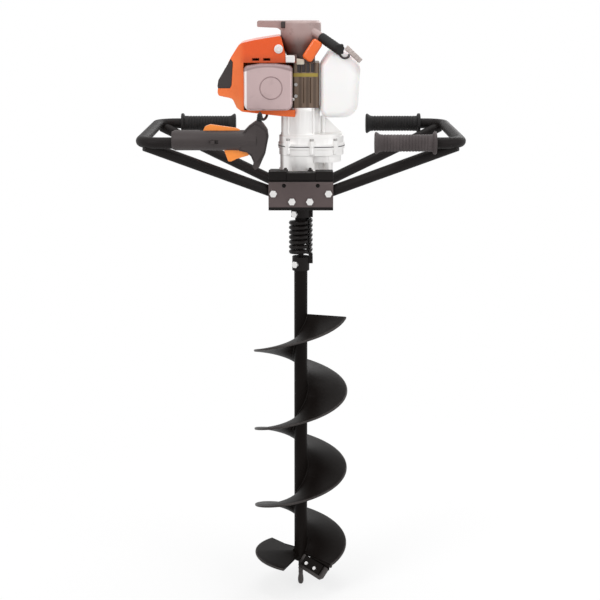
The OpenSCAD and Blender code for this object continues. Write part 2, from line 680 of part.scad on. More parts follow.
module output_shaft() {
  color("#c8c6c4") difference() {
    translate([0, 0, spring_z1 - shaft_seat + free]) cylinder(h = wheel2_z + wheel2_w - spring_z1 + shaft_seat, d = out_shaft_d);
    hub_bolt_place() translate([0, 0, -upper_hub_d]) cylinder(h = 2 * upper_hub_d, d = frame_bolt_d + 2 * seat);
  }
}
module output_wheel() {
  web = 5;
  color("#b8b4b0") translate([0, 0, wheel2_z]) difference() {
    spur_gear(wheel2_teeth, module2, 0, wheel2_w);
    translate([0, 0, -1]) cylinder(h = wheel2_w + 2, d = out_shaft_d + 2 * seat);
    translate([0, 0, wheel2_w - web]) ring([out_shaft_d + 14, module2 * wheel2_teeth - 14, web + 1]);
  }
}
module layshaft() {
  color("#b8b4b0") translate([centre_d, 0, 0]) {
    translate([0, 0, wheel2_z - 0.5]) spur_gear(pinion2_teeth, module2, 180 + 180 / pinion2_teeth, wheel2_w + 1);
    translate([0, 0, wheel1_z]) spur_gear(wheel1_teeth, module1, 180 + 180 / wheel1_teeth, wheel1_w);
    translate([0, 0, floor_z - 3.5]) cylinder(h = wheel1_z - floor_z + 4, d = lay_foot_d);
    translate([0, 0, wheel1_z]) cylinder(h = split_z + lay_bearing[2] - wheel1_z, d = lay_d);
  }
}
module input_pinion() {
  pinion_w = wheel1_w + 4;
  color("#c8c6c4") {
    translate([0, 0, wheel1_z - 2]) spur_gear(pinion1_teeth, module1, 0, pinion_w);
    translate([0, 0, wheel1_z - 2 + pinion_w]) cylinder(h = drum_z0 + 3 - wheel1_z + 2 - pinion_w, d = in_shaft_d);
  }
}
module gearbox_bearings() {
  color("#d8d6d4") {
    translate([0, 0, floor_z - out_bearing[2]]) ring(out_bearing);
    translate([centre_d, 0, floor_z - 3.5]) ring(foot_bearing);
    translate([centre_d, 0, split_z]) ring(lay_bearing);
    translate([0, 0, split_z]) ring(in_bearing);
  }
}

// Plan outline of the castings: two rounds joined by a straight waist
module case_outline(r) {
  circle(r = r);
  translate([centre_d, 0]) circle(r = r);
  translate([0, -r]) square([centre_d, 2 * r]);
}
case_bolt_r = 4.5;
case_bolt_places = [[-26, 1], [22, 1], [70, 1]];
module case_ears(h) {
  for (p = case_bolt_places) for (s = [-1, 1]) translate([p.x, s * ear_y(p.x), 0]) cylinder(h = h, r = case_bolt_r + 2);
}
function ear_y(x) = x < 0 ? sqrt(case_r * case_r - x * x) : x > centre_d ? sqrt(case_r * case_r - pow(x - centre_d, 2)) : case_r;
module gearbox_lower() {
  waist = 2;
  step_z = gearbox_z0 + 0.53 * gearbox_lower_h;
  color("#dedcda") difference() {
    union() {
      translate([0, 0, gearbox_z0]) linear_extrude(gearbox_lower_h) case_outline(case_r - waist);
      translate([0, 0, step_z]) linear_extrude(split_z - step_z) case_outline(case_r);
      translate([0, 0, split_z - 6]) linear_extrude(6) case_outline(case_r + 2);
      translate([0, 0, split_z - 16]) case_ears(16);
      translate([-case_r - 1, -foot_y, gearbox_z0]) cube([centre_d + 2 * case_r + 2, 2 * foot_y, foot_t]);
      translate([0, 0, boss_z0]) cylinder(h = gearbox_z0 - boss_z0 + 1, d = boss_d);
      for (z = [0 : 1]) translate([centre_d + 8 + 18 * z, -case_r + 1, gearbox_z0]) cylinder(h = 26 - 6 * z, r = 7);
    }
    translate([0, 0, floor_z]) linear_extrude(gearbox_lower_h) case_outline(cavity_r);
    translate([0, 0, boss_z0 - 1]) cylinder(h = 40, d = out_shaft_d + 4 * free);
    translate([0, 0, floor_z - out_bearing[2]]) cylinder(h = 40, d = out_bearing[1] + 2 * seat);
    translate([centre_d, 0, floor_z - 3.5]) cylinder(h = 10, d = foot_bearing[1] + 2 * seat);
    for (x = foot_bolt_x) for (s = [-1, 1]) translate([x, s * foot_bolt_y, gearbox_z0 - 1])
      cylinder(h = foot_t + 2, d = foot_bolt_d + 2 * seat);
    for (x = foot_bolt_x) for (s = [-1, 1]) translate([x, s * foot_bolt_y, gearbox_z0 + foot_t])
      cylinder(h = 9, r = foot_bolt_d + 0.5);
  }
}
module gearbox_upper() {
  lid = 8;
  rib_t = 6;
  color("#dedcda") difference() {
    union() {
      translate([0, 0, split_z]) linear_extrude(gearbox_upper_h - 5) case_outline(case_r);
      translate([0, 0, split_z]) linear_extrude(6) case_outline(case_r + 2);
      translate([0, 0, split_z]) case_ears(12);
      translate([0, 0, gearbox_z1 - 8]) linear_extrude(8) case_outline(clutch_d / 2 + 1);
      translate([tank_x0 + 6, 8, gearbox_z1 - 1]) cylinder(h = tank_z0 - gearbox_z1 + 1 - 0.3, r = 5);
      translate([tank_x0 + 6, 8 + rib_t / 2, gearbox_z1 - 1]) rotate([90, 0, 0]) linear_extrude(rib_t)
        polygon([[0, 0], [38, 0], [38, 4], [5, tank_z0 - gearbox_z1 - 2], [0, tank_z0 - gearbox_z1 - 2]]);
    }
    translate([0, 0, split_z - 1]) cylinder(h = in_bearing[2] + 1, d = in_bearing[1] + 2 * seat);
    translate([0, 0, split_z]) cylinder(h = gearbox_upper_h + 1, d = in_shaft_d + 4 * free);
    translate([centre_d, 0, split_z - 1]) cylinder(h = lay_bearing[2] + 1.5, d = lay_bearing[1] + 2 * seat);
  }
}

// Clutch and engine block
drum_z0 = gearbox_z1 + 5;
drum_h = 24;
drum_wall = 3.5;
shoe_z = drum_z0 + 6;
shoe_h = 15;
shoe_hub_d = 24;
crank_r = crank_d / 2;
clutch_wall = 4;
clutch_rib_r = 3.3;
module clutch_housing() {
  color("#d6d2d0") difference() {
    union() {
      translate([0, 0, gearbox_z1]) cylinder(h = clutch_h, d = clutch_d);
      translate([0, 0, clutch_z1 - 7]) cylinder(h = 7, d = clutch_d + 5);
      for (a = [-130, -50, 50, 130]) rotate([0, 0, a]) translate([clutch_d / 2, 0, gearbox_z1])
        cylinder(h = clutch_h, r = clutch_rib_r);
    }
    translate([0, 0, gearbox_z1 - 1]) cylinder(h = clutch_h - clutch_wall + 1, d = clutch_d - 2 * clutch_wall);
    translate([0, 0, gearbox_z1]) cylinder(h = clutch_h + 1, d = crank_d + 4 * free);
    translate([tank_x0 - gap, -clutch_d / 2, gearbox_z1 - 1]) cube([clutch_d, clutch_d, clutch_h + 2]);
  }
}
module clutch_drum() {
  color("#8c8884") translate([0, 0, drum_z0]) difference() {
    cylinder(h = drum_h, d = drum_d);
    translate([0, 0, 3]) cylinder(h = drum_h, d = drum_d - 2 * drum_wall);
    translate([0, 0, -1]) cylinder(h = drum_h, d = in_shaft_d + 2 * seat);
  }
}
module clutch_shoes() {
  slit = 5;
  color("#5a5450") translate([0, 0, shoe_z]) difference() {
    ring([shoe_hub_d + 2 * seat, drum_d - 2 * drum_wall - 2.5, shoe_h]);
    translate([-drum_d, -slit / 2, -1]) cube([2 * drum_d, slit, shoe_h + 2]);
  }
}
module crankshaft() {
  color("#c8c6c4") {
    translate([0, 0, shoe_z]) cylinder(h = shoe_h, d = shoe_hub_d);
    translate([0, 0, shoe_z]) cylinder(h = fly_z + fly_h - shoe_z, d = crank_d);
  }
}
case_x0 = -16;
case_x1 = 38;
case_y = 42;
module crankcase() {
  slot = [4, 5, 18];
  groove = [2, 3, crankcase_h - 40];
  color("#6e5a4b") difference() {
    translate([0, 0, clutch_z1]) linear_extrude(crankcase_h)
      polygon(rounded([[case_x0, -case_y], [case_x1, -case_y], [case_x1, case_y], [case_x0, case_y]], [3, 8, 8, 3]));
    translate([0, 0, clutch_z1 - 1]) cylinder(h = crankcase_h + 2, d = crank_d + 2 * run);
    for (i = [0 : 3]) translate([case_x0 + 12 + 9 * i, -case_y - 1, crankcase_z1 - slot.z])
      cube([slot.x, slot.y, slot.z + 1]);
    for (i = [0 : 1]) translate([case_x0 + 20 + 14 * i, -case_y - 1, clutch_z1 + 10]) cube(groove);
  }
}
bore_z = clutch_z1 + crankcase_h / 2;
fin_r = 37;
barrel_out = 24;
fin_n = 10;
cyl_len = 96;
module engine_cylinder() {
  pitch = cyl_len / fin_n;
  outline = concat([[0, 0], [barrel_out, 0]],
    [for (i = [0 : fin_n - 1]) each [[barrel_out, 3 + i * pitch], [fin_r, 3 + i * pitch], [fin_r, 5 + i * pitch], [barrel_out, 5 + i * pitch]]],
    [[barrel_out, cyl_len], [0, cyl_len]]);
  color("#8c8884") {
    translate([case_x0, 0, bore_z]) rotate([0, -90, 0]) rotate_extrude() polygon(outline);
    translate([port_x, 0, bore_z]) rotate([90, 0, 0]) cylinder(h = 2 * port_y, r = 13, center = true);
  }
}
port_x = case_x0 - 0.5 * cyl_len;
port_y = fin_r + 8;
muffler_x1 = case_x0 - 0.5;
muffler_x0 = muffler_x1 - muffler_w;
muffler_z0 = bore_z - muffler_h / 2 - 1;
muffler_y0 = -port_y - muffler_d;
muffler_bevel = 6;
module muffler_outline(d) {
  crown = 5;
  polygon(rounded(inset([[muffler_x0, muffler_z0], [muffler_x1, muffler_z0], [muffler_x1, muffler_z0 + muffler_h - crown],
    [muffler_x1 - muffler_w / 3, muffler_z0 + muffler_h], [muffler_x0 + muffler_w / 3, muffler_z0 + muffler_h],
    [muffler_x0, muffler_z0 + muffler_h - crown]], d), [14, 14, 12, 40, 40, 12], 5));
}
module muffler() {
  ring_r = 23;
  ring_at = [muffler_x0 + 0.56 * muffler_w, muffler_z0 + 0.49 * muffler_h];
  color("#c3a8a8") {
    translate([0, -port_y, 0]) rotate([90, 0, 0]) linear_extrude(muffler_d - muffler_bevel) muffler_outline(0);
    hull() {
      translate([0, -port_y - muffler_d + muffler_bevel, 0]) rotate([90, 0, 0]) linear_extrude(0.5) muffler_outline(0);
      translate([0, -port_y - muffler_d + muffler_bevel / 3, 0]) rotate([90, 0, 0]) linear_extrude(0.5) muffler_outline(1.6);
      translate([0, muffler_y0 + 0.5, 0]) rotate([90, 0, 0]) linear_extrude(0.5) muffler_outline(muffler_bevel);
    }
    translate([ring_at.x, muffler_y0 + 0.5, ring_at.y]) rotate([90, 0, 0]) ring([2 * ring_r - 3, 2 * ring_r, 2]);
  }
}

// Cooling shroud round the cylinder
shroud_y = 58;
shroud_corners = [[-11, -62], [-40, -60], [48 - shroud_reach, -51], [38 - shroud_reach, -43], [30 - shroud_reach, -25],
  [2 - shroud_reach, -19], [-shroud_reach, -12], [2 - shroud_reach, 6], [27 - shroud_reach, 56], [45 - shroud_reach, 84],
  [76 - shroud_reach, 91], [-40, 99], [-31, 62], [-31, 50], [-11, 50]];
shroud_radii = [2, 8, 8, 6, 10, 4, 3, 3, 10, 16, 20, 6, 2, 2, 2];
vent_corners = [for (c = [[25, -4], [28, 2], [31, 47], [27, 53], [2, 12], [0, 0], [1, -4]]) [c.x - shroud_reach, c.y]];
function from_bore(list) = [for (p = list) [p.x, p.y + bore_z]];
function reversed(list) = [for (i = [len(list) - 1 : -1 : 0]) list[i]];
function shroud_outline(d) = rounded(inset(reversed(from_bore(shroud_corners)), d), reversed(shroud_radii), 4);
module across(y0, y1) { translate([0, y1, 0]) rotate([90, 0, 0]) linear_extrude(y1 - y0) children(); }
module shroud() {
  lug = 5;
  roof = 88;
  port_cut = [carb_w + 8, carb_h + 31];
  color("#eb6e2d") difference() {
    union() {
      difference() {
        across(-shroud_y, shroud_y) polygon(shroud_outline(0));
        across(-shroud_y + shroud_wall, shroud_y - shroud_wall) polygon(shroud_outline(shroud_wall));
      }
      translate([port_x - 26, 0, bore_z + fin_r + 0.4]) cylinder(h = roof - fin_r, r = lug);
    }
    across(-shroud_y - 1, 0) translate([muffler_x0 - free, muffler_z0 - free]) square([muffler_w + 60, muffler_h + 2 * free]);
    across(-case_y - free, case_y + free) translate([case_x0 - free, clutch_z1 - 30]) square([60, crankcase_h + 60]);
    across(0, shroud_y + 1) translate([port_x - port_cut.x / 2, bore_z - carb_h / 2 - 19]) square(port_cut);
    across(-shroud_y - 1, shroud_y + 1) polygon(inset(vent_corners_up, -0.4));
    for (i = [0 : 1]) translate([port_x - 33 + 22 * i, -shroud_y - 1, muffler_z0 + muffler_h + 5]) cube([14, 10, 5]);
    translate([0, 0, clutch_z1 - 40]) cylinder(h = 45, d = clutch_d + 5 + 2 * free);
    starter_skin(free);
  }
}
vent_corners_up = from_bore(vent_corners);
module vent_grille() {
  slats = 6;
  lean = atan2(50, 25);
  color("#2a2625") difference() {
    across(-shroud_y - 0.5, shroud_y - 8) polygon(vent_corners_up);
    for (i = [0 : slats - 1]) translate([-shroud_reach + 1 + 3.4 * i, -shroud_y + 8, bore_z + 2 + 7.5 * i])
      rotate([0, lean - 90, 0]) translate([-9, 0, 0]) cube([14, 2 * shroud_y - 24, 4]);
  }
}

// Fuel and air side behind the cylinder
carb_w = 40;
carb_h = 36;
carb_y0 = port_y;
carb_y1 = carb_y0 + 39;
filter_d = 30;
filter_w = 90;
filter_h = 78;
arm_t = 3;
arm_pivot_d = 6;
arm_z = bore_z + carb_h / 2 + 4;
module carburettor() {
  bowl_d = 30;
  color("#9a9896") {
    translate([port_x - carb_w / 2, carb_y0, bore_z - carb_h / 2]) cube([carb_w, carb_y1 - carb_y0, carb_h]);
    translate([port_x, (carb_y0 + carb_y1) / 2, bore_z - carb_h / 2 - 15]) cylinder(h = 16, d = bowl_d);
    translate([port_x, arm_y, bore_z]) cylinder(h = carb_h / 2 + 3.7, d = 2 * arm_pivot_d + 3);
    translate([port_x, arm_y, bore_z]) cylinder(h = carb_h / 2 + 4 + arm_t + 2, d = arm_pivot_d);
    translate([cable_end.x - 6, cable_end.y - 6, cable_end.z + 0.3]) cube([port_x - carb_w / 2 - cable_end.x + 7, 12, 5]);
  }
}
arm_y = (carb_y0 + carb_y1) / 2;
module throttle_arm() {
  reach = 20;
  color("#c8c6c4") translate([port_x, arm_y, arm_z]) linear_extrude(arm_t) difference() {
    union() {
      circle(d = 2 * arm_pivot_d + 2);
      translate([-reach, -4]) square([reach, 8]);
      translate([-reach, 0]) circle(d = 8);
    }
    circle(d = arm_pivot_d + 2 * run);
    translate([-reach, 0]) circle(d = 3);
  }
}
module air_filter_cover() {
  bevel = 8;
  color("#26211f") {
    hull() {
      filter_slab(0, carb_y1, 2);
      filter_slab(0, carb_y1 + filter_d - bevel, 1);
      filter_slab(bevel, carb_y1 + filter_d - 1, 1);
    }
    choke_place() cylinder(h = 8, d = choke_pivot_d);
  }
}
module filter_slab(d, y, t) {
  across(y, y + t) polygon(rounded(inset([[port_x - filter_w / 2, bore_z - filter_h / 2], [port_x + filter_w / 2, bore_z - filter_h / 2],
    [port_x + filter_w / 2, bore_z + filter_h / 2], [port_x - filter_w / 2, bore_z + filter_h / 2]], d), [10, 10, 10, 10], 4));
}
choke_pivot_d = 6;
choke_t = 4;
module choke_place() { translate([port_x - filter_w / 2 + 1, carb_y1 + 10, bore_z + 4]) rotate([0, -90, 0]) children(); }
module choke_lever() {
  reach = 24;
  color("#1c1918") choke_place() translate([0, 0, 1.4]) linear_extrude(choke_t) difference() {
    union() {
      circle(d = 2 * choke_pivot_d);
      translate([0, -4]) square([reach, 8]);
      translate([reach, 0]) circle(d = 11);
    }
    circle(d = choke_pivot_d + 2 * run);
  }
}

// The cable leaves the throttle handle's head upwards, dips under the muffler and climbs to the carburettor
cable_start = [-head_x + 18, split_y, bar_z + 6.5];
cable_end = [port_x - carb_w / 2 - 6, carb_y1 - 8, bore_z - 0.5];
cable_head = [[0, 0, 24], [0, 0, 40], [0, 4, 47], [1, 20, 49], [2, 48, 44], [2, 80, 36], [4, 120, 27]];
cable_tail = [[18, -96, -67], [20, -51, -65], [18, -21, -62], [12, -4, -48], [4, 0, -22], [0, 0, 0]];
cable_points = concat([for (p = cable_head) cable_start + p], [for (p = cable_tail) cable_end + p]);
module throttle_cable() {
  color("#1c1918") swept_tube(smooth_route(cable_points, 4), cable_d / 2 - 0.3, 8);
}

// Recoil starter and flywheel
starter_r = starter_d / 2;
starter_wall = 3;
rope_r = rope_d / 2;
rope_x = pulley_d / 2 - rope_r;
rope_z = starter_z0 + 9;
pulley_h = 12;
collar_d = 24;
fly_z = starter_z0 + 20;
fly_h = 24;
grip_tilt = 33;
grip_r = 12;
pull_y = -46;
eyelet_y = pull_y + grip_r + 0.4;
neck_r = pulley_d / 2 + 4;
// Outer form of the starter housing and its foot on the crankcase, grown by d
module starter_skin(d) {
  foot = [16, 30, 16];
  rotate_extrude() polygon([[0, crankcase_z1 - d], [neck_r + d, crankcase_z1 - d], [neck_r + d, starter_z0 - 2],
    [neck_r + 2 + d, starter_z0 + 2], [starter_r + d, starter_z0 + 24], [starter_r + d, starter_z1 - 4],
    [starter_r - 4 + d, starter_z1 + d], [0, starter_z1 + d]]);
  translate([case_x0 - 8 - d, -case_y + 2 - d, crankcase_z1 - d]) cube(foot + 2 * [d, d, d]);
}
module starter_housing() {
  lip_w = 50;
  color("#a08782") difference() {
    union() {
      difference() {
        union() {
          starter_skin(0);
          translate([rope_x, eyelet_y, rope_z]) rotate([-90, 0, 0]) cylinder(h = -eyelet_y - 12, r = 6);
          across(-22, 22) polygon(rounded([[-starter_r - lip_w + 3, starter_z1 - 12], [-starter_r, starter_z1 - 14], [-starter_r + 6, starter_z1 - 34],
            [-starter_r + 20, starter_z1 - 34], [-starter_r + 20, starter_z1], [-starter_r - lip_w + 3, starter_z1]], [3, 14, 2, 0, 0, 3], 5));
          between([starter_r - 17, -27, starter_z1 - 20], arm_end, 8);
        }
        rotate_extrude() polygon([[0, starter_z0 + 2], [neck_r - 1, starter_z0 + 2], [neck_r - 1, starter_z0 + 4],
          [starter_r - starter_wall, starter_z0 + 25], [starter_r - starter_wall, starter_z1 - starter_wall - 2],
          [starter_r - starter_wall - 2, starter_z1 - starter_wall], [0, starter_z1 - starter_wall]]);
      }
      translate([0, 0, starter_z0]) cylinder(h = pulley_h + 4, d = collar_d);
    }
    translate([0, 0, crankcase_z1 - 1]) cylinder(h = starter_z0 - crankcase_z1, r = neck_r - 3);
    translate([0, 0, crankcase_z1]) cylinder(h = starter_z0 + pulley_h + 10 - crankcase_z1, d = crank_d + 4);
    translate([rope_x, eyelet_y - 1, rope_z]) rotate([-90, 0, 0]) cylinder(h = -eyelet_y, r = rope_r + 0.5);
    translate(arm_end) rotate([-90, 0, 0]) translate([0, 0, -seat]) cylinder(h = 2 * buffer_r, r = buffer_r + seat);
  }
}
module starter_pulley() {
  groove = rope_d + 2;
  rim = pulley_d / 2 + 2;
  z0 = starter_z0 + 3;
  side = (pulley_h - groove) / 2;
  core = rope_x - rope_r;
  color("#3a3433") rotate_extrude() polygon([[collar_d / 2 + run, z0], [rim, z0], [rim, z0 + side], [core - 0.4, z0 + side],
    [core - 0.4, z0 + side + groove], [rim, z0 + side + groove], [rim, z0 + pulley_h], [collar_d / 2 + run, z0 + pulley_h]]);
}
module starter_rope() {
  color("#e4e0dc") translate([rope_x, 0, rope_z]) rotate([90, 0, 0]) cylinder(h = -pull_y - grip_r - 0.1, r = rope_r);
}
pull_w = 22;
module pull_outline(d) {
  polygon(rounded(inset([[-pull_w / 2, -pull_len / 2], [pull_w / 2, -pull_len / 2], [pull_w / 2, pull_len / 2],
    [-pull_w / 2, pull_len / 2]], d), [6 - d / 2, 6 - d / 2, 6 - d / 2, 6 - d / 2], 4));
}
module starter_grip() {
  bevel = 3;
  color("#f07828") translate([rope_x, pull_y, rope_z]) rotate([0, grip_tilt, 0]) hull() {
    across(-grip_r, -grip_r + 0.5) pull_outline(bevel);
    across(-grip_r + bevel, grip_r - bevel) pull_outline(0);
    across(grip_r - 0.5, grip_r) pull_outline(bevel);
  }
}
module flywheel() {
  fly_r = starter_r - starter_wall - 4;
  disc = 8;
  fins = 10;
  color("#b8b4b0") translate([0, 0, fly_z]) difference() {
    union() {
      cylinder(h = disc, r = fly_r);
      for (i = [0 : fins - 1]) rotate([0, 0, 360 * i / fins]) translate([18, -1, disc - 1]) cube([fly_r - 19, 2, fly_h - disc - 3]);
      cylinder(h = fly_h - 4, r = 14);
    }
    translate([0, 0, -1]) cylinder(h = fly_h + 2, d = crank_d + 2 * seat);
  }
}

// Fuel tank with its filler on the outer shoulder
tank_x0 = case_x1 + 1.5;
tank_x1 = tank_x0 + tank_w;
tank_z0 = clutch_z1 - 20;
tank_z1 = tank_z0 + tank_h;
tank_mid_y = 3;
tank_y0 = tank_mid_y - tank_depth / 2;
shoulder = [34, 32];
neck_d = 32;
neck_bore = 26;
neck_h = 5;
cap_h = 10;
buffer_r = 9;
arm_end = [tank_x0 + 40, tank_y0 - 16, tank_z1 - 2];
module tank_form(w) {
  intersection() {
    across(tank_y0 - 1, tank_y0 + tank_depth + 1) polygon(rounded(inset([[tank_x0, tank_z0], [tank_x1, tank_z0], [tank_x1, tank_z1 - shoulder.y],
      [tank_x1 - shoulder.x, tank_z1], [tank_x0 + 20, tank_z1], [tank_x0, tank_z1 - 30]], w),
      [for (r = [12, 26, 16, 16, 14, 16]) r - w], 6));
    translate([0, 0, tank_z0 - 1]) linear_extrude(tank_h + 2) polygon(rounded(inset([[tank_x0, tank_y0], [tank_x1, tank_y0],
      [tank_x1, tank_y0 + tank_depth], [tank_x0, tank_y0 + tank_depth]], w), [for (r = [10, 26, 26, 10]) r - w], 6));
  }
}
module neck_place() {
  translate([tank_x1 - shoulder.x / 2, tank_mid_y, tank_z1 - shoulder.y / 2])
    rotate([0, atan2(shoulder.y, shoulder.x), 0]) children();
}
module fuel_tank() {
  color("#f4f3f1") difference() {
    union() {
      tank_form(0);
      neck_place() translate([0, 0, -4]) cylinder(h = neck_h + 4, d = neck_d);
    }
    tank_form(tank_wall);
    neck_place() translate([0, 0, -8]) cylinder(h = neck_h + 9, d = neck_bore);
  }
}
module fuel_cap() {
  flutes = 14;
  color("#c9c5c2") neck_place() translate([0, 0, 0.4]) difference() {
    cylinder(h = cap_h, d = cap_d);
    translate([0, 0, -1]) cylinder(h = neck_h + 1 + gap, d = neck_d + 2 * gap);
    for (i = [0 : flutes - 1]) rotate([0, 0, 360 * i / flutes]) translate([cap_d / 2 + 1, 0, -1]) cylinder(h = cap_h + 2, d = 4.4);
  }
}
module tank_buffer() {
  color("#1c1918") translate(arm_end) rotate([-90, 0, 0]) cylinder(h = tank_y0 - arm_end.y - 0.3, r = buffer_r);
}

auger_tube();
flight_upper();
flight_middle();
flight_lower();
second_flight();
blade_holders();
cutting_blades();
blade_bolts();
pilot_point();
lower_hub();
bit_bolt();
coupling_spring();
upper_hub();
hub_bolt();
output_shaft();
bracket();
gearbox_clamps();
frame_bolts();
strut_front_left();
strut_front_right();
strut_back_left();
strut_back_right();
handlebar_left();
handlebar_right();
grip_front_right();
grip_back_right();
grip_back_left();
handle_shell_front();
handle_shell_back();
throttle_trigger();
lock_lever();
stop_switch();
throttle_cable();
gearbox_lower();
gearbox_upper();
gearbox_bearings();
output_wheel();
layshaft();
input_pinion();
clutch_housing();
clutch_drum();
clutch_shoes();
crankshaft();
flywheel();
crankcase();
engine_cylinder();
muffler();
shroud();
vent_grille();
carburettor();
throttle_arm();
air_filter_cover();
choke_lever();
starter_housing();
starter_pulley();
starter_rope();
starter_grip();
fuel_tank();
fuel_cap();
tank_buffer();
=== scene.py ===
import json
import math

import bmesh
import bpy
import numpy as np
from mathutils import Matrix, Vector
from mathutils.bvhtree import BVHTree


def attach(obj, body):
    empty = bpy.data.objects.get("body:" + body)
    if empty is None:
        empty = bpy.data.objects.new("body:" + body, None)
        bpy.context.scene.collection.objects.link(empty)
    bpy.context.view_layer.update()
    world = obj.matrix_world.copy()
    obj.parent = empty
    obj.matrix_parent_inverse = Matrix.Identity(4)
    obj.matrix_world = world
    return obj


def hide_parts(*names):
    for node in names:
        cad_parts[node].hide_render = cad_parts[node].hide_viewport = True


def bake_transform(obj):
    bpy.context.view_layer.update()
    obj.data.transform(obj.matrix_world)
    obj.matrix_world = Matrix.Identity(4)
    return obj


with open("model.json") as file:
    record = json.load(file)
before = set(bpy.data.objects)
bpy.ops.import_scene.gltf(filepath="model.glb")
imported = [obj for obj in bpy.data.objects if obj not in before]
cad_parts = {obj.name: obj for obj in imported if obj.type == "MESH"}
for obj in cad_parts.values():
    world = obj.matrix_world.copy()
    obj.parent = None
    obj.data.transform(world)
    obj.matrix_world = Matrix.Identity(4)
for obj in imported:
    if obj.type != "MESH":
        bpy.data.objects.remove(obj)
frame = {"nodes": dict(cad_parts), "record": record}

nodes, scene = frame["nodes"], bpy.context.scene
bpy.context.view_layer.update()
mm = 0.001
print("frame loaded:", len(nodes), "nodes")


# Shader maths: a wrapped socket takes + - * ** | and adds the Math nodes by itself; a | b is the greater of two
class Reading:
    def __init__(self, finish, socket):
        self.finish, self.socket = finish, socket

    def maths(self, operation, first, second=0.0):
        return self.finish.add("Math", {"operation": operation}, {0: first, 1: second})

    def __add__(self, other):
        return self.maths("ADD", self, other)

    def __sub__(self, other):
        return self.maths("SUBTRACT", self, other)

    def __rsub__(self, other):
        return self.maths("SUBTRACT", other, self)

    def __mul__(self, other):
        return self.maths("MULTIPLY", self, other)

    def __pow__(self, other):
        return self.maths("POWER", self, other)

    def __or__(self, other):
        return self.maths("MAXIMUM", self, other)

    def sine(self):
        return self.maths("SINE", self)

    __radd__ = __add__
    __rmul__ = __mul__


# how far a fine grain stands out, in metres, and short names of the sockets that only some finishes set
fineReach = 0.0004
surfaceSockets = {"shine": "Specular IOR Level", "coat": "Coat Weight", "coatRough": "Coat Roughness",
                  "milk": "Subsurface Weight", "milkScale": "Subsurface Scale"}


# The node tree of a new material, or of the owner that is given
class Finish:
    def __init__(self, name, owner=None):
        self.owner = owner or bpy.data.materials.new(name)
        self.owner.use_nodes = True
        self.tree = self.owner.node_tree
        self.tree.nodes.clear()
        self.coords = self.add("TexCoord", out="Object")

    # one node: settings first, then values or links of its sockets
    def add(self, kind, settings=None, sockets=None, out=0):
        node = self.tree.nodes.new("ShaderNode" + kind)
        for key, value in (settings or {}).items():
            setattr(node, key, value)
        for key, value in (sockets or {}).items():
            if isinstance(value, Reading):
                self.tree.links.new(value.socket, node.inputs[key])
            else:
                node.inputs[key].default_value = value
        return Reading(self, node.outputs[out]) if len(node.outputs) else None

    def noise(self, scale, detail, rough=0.55, coords=None):
        sockets = {"Vector": coords or self.coords, "Scale": scale, "Detail": detail, "Roughness": rough}
        return self.add("TexNoise", None, sockets, "Fac")

    def ramp(self, value, low, high):
        return self.add("MapRange", {"interpolation_type": "SMOOTHSTEP"},
                        {"Value": value, "From Min": low, "From Max": high}, "Result")

    def mix(self, factor, first, second):
        sockets = {"Factor": factor, 6: self.shade(first), 7: self.shade(second)}
        return self.add("Mix", {"data_type": "RGBA"}, sockets, 2)

    def shade(self, colour):
        return colour if isinstance(colour, Reading) else (*colour, 1)

    def axes(self):
        split = self.add("SeparateXYZ", None, {0: self.coords})
        return [Reading(self, socket) for socket in split.socket.node.outputs]

    def stretched(self, scale):
        return self.add("Mapping", None, {"Vector": self.coords, "Scale": scale}, "Vector")

    def bump(self, height, strength, reach=0.0006):
        return self.add("Bump", None, {"Height": height, "Strength": strength, "Distance": reach}, "Normal")

    # 1 for rays that show a surface to the camera, straight or by way of a mirror or a glass, and 0 for others
    def seen(self):
        kinds = ("Camera", "Glossy", "Transmission")
        camera, glossy, through = (self.add("LightPath", out=f"Is {kind} Ray") for kind in kinds)
        return camera | glossy | through

    def close(self, colour, roughness, metallic, normal, **extra):
        sockets = {"Base Color": self.shade(colour), "Roughness": roughness, "Metallic": metallic, "Normal": normal}
        sockets.update({surfaceSockets[key]: value for key, value in extra.items()})
        surface = self.add("BsdfPrincipled", None, sockets, "BSDF")
        self.add("OutputMaterial", None, {"Surface": surface})
        return self.owner


# Powder coat on the steel: two close blacks, orange-peel skin, a few paler specks
powderCoat = {
    "dark": (0.0065, 0.0052, 0.0050), "pale": (0.014, 0.0115, 0.011), "speck": (0.05, 0.044, 0.042), "gloss": 0.46,
    "shine": 0.12, "cloud": 9, "peel": 750, "specks": 420, "speckFrom": (0.68, 0.76), "speckShare": 0.45,
}


def makePowderCoat(name, s):
    f = Finish(name)
    cloud, peel = f.noise(s["cloud"], 4), f.noise(s["peel"], 2)
    speck = f.ramp(f.noise(s["specks"], 4), *s["speckFrom"])
    colour = f.mix(cloud, s["dark"], s["pale"])
    colour = f.mix(speck * s["speckShare"], colour, s["speck"])
    return f.close(colour, s["gloss"] + 0.12 * cloud + 0.05 * peel, 0.0, f.bump(peel, 0.10), shine=s["shine"])


# Bit paint: the same coat, rubbed thin towards the rim of the flight
bitPaint = {
    "rim": 0.1, "rubFrom": -0.0015, "rubTo": 0.003, "wander": 0.006, "rubbed": (0.085, 0.077, 0.075),
    "dark": (0.0046, 0.0034, 0.0029), "pale": (0.0095, 0.0072, 0.0064), "gloss": 0.34, "shine": 0.06, "cloud": 14,
    "streak": 60, "lay": (1, 1, 0.25), "peel": 650,
}


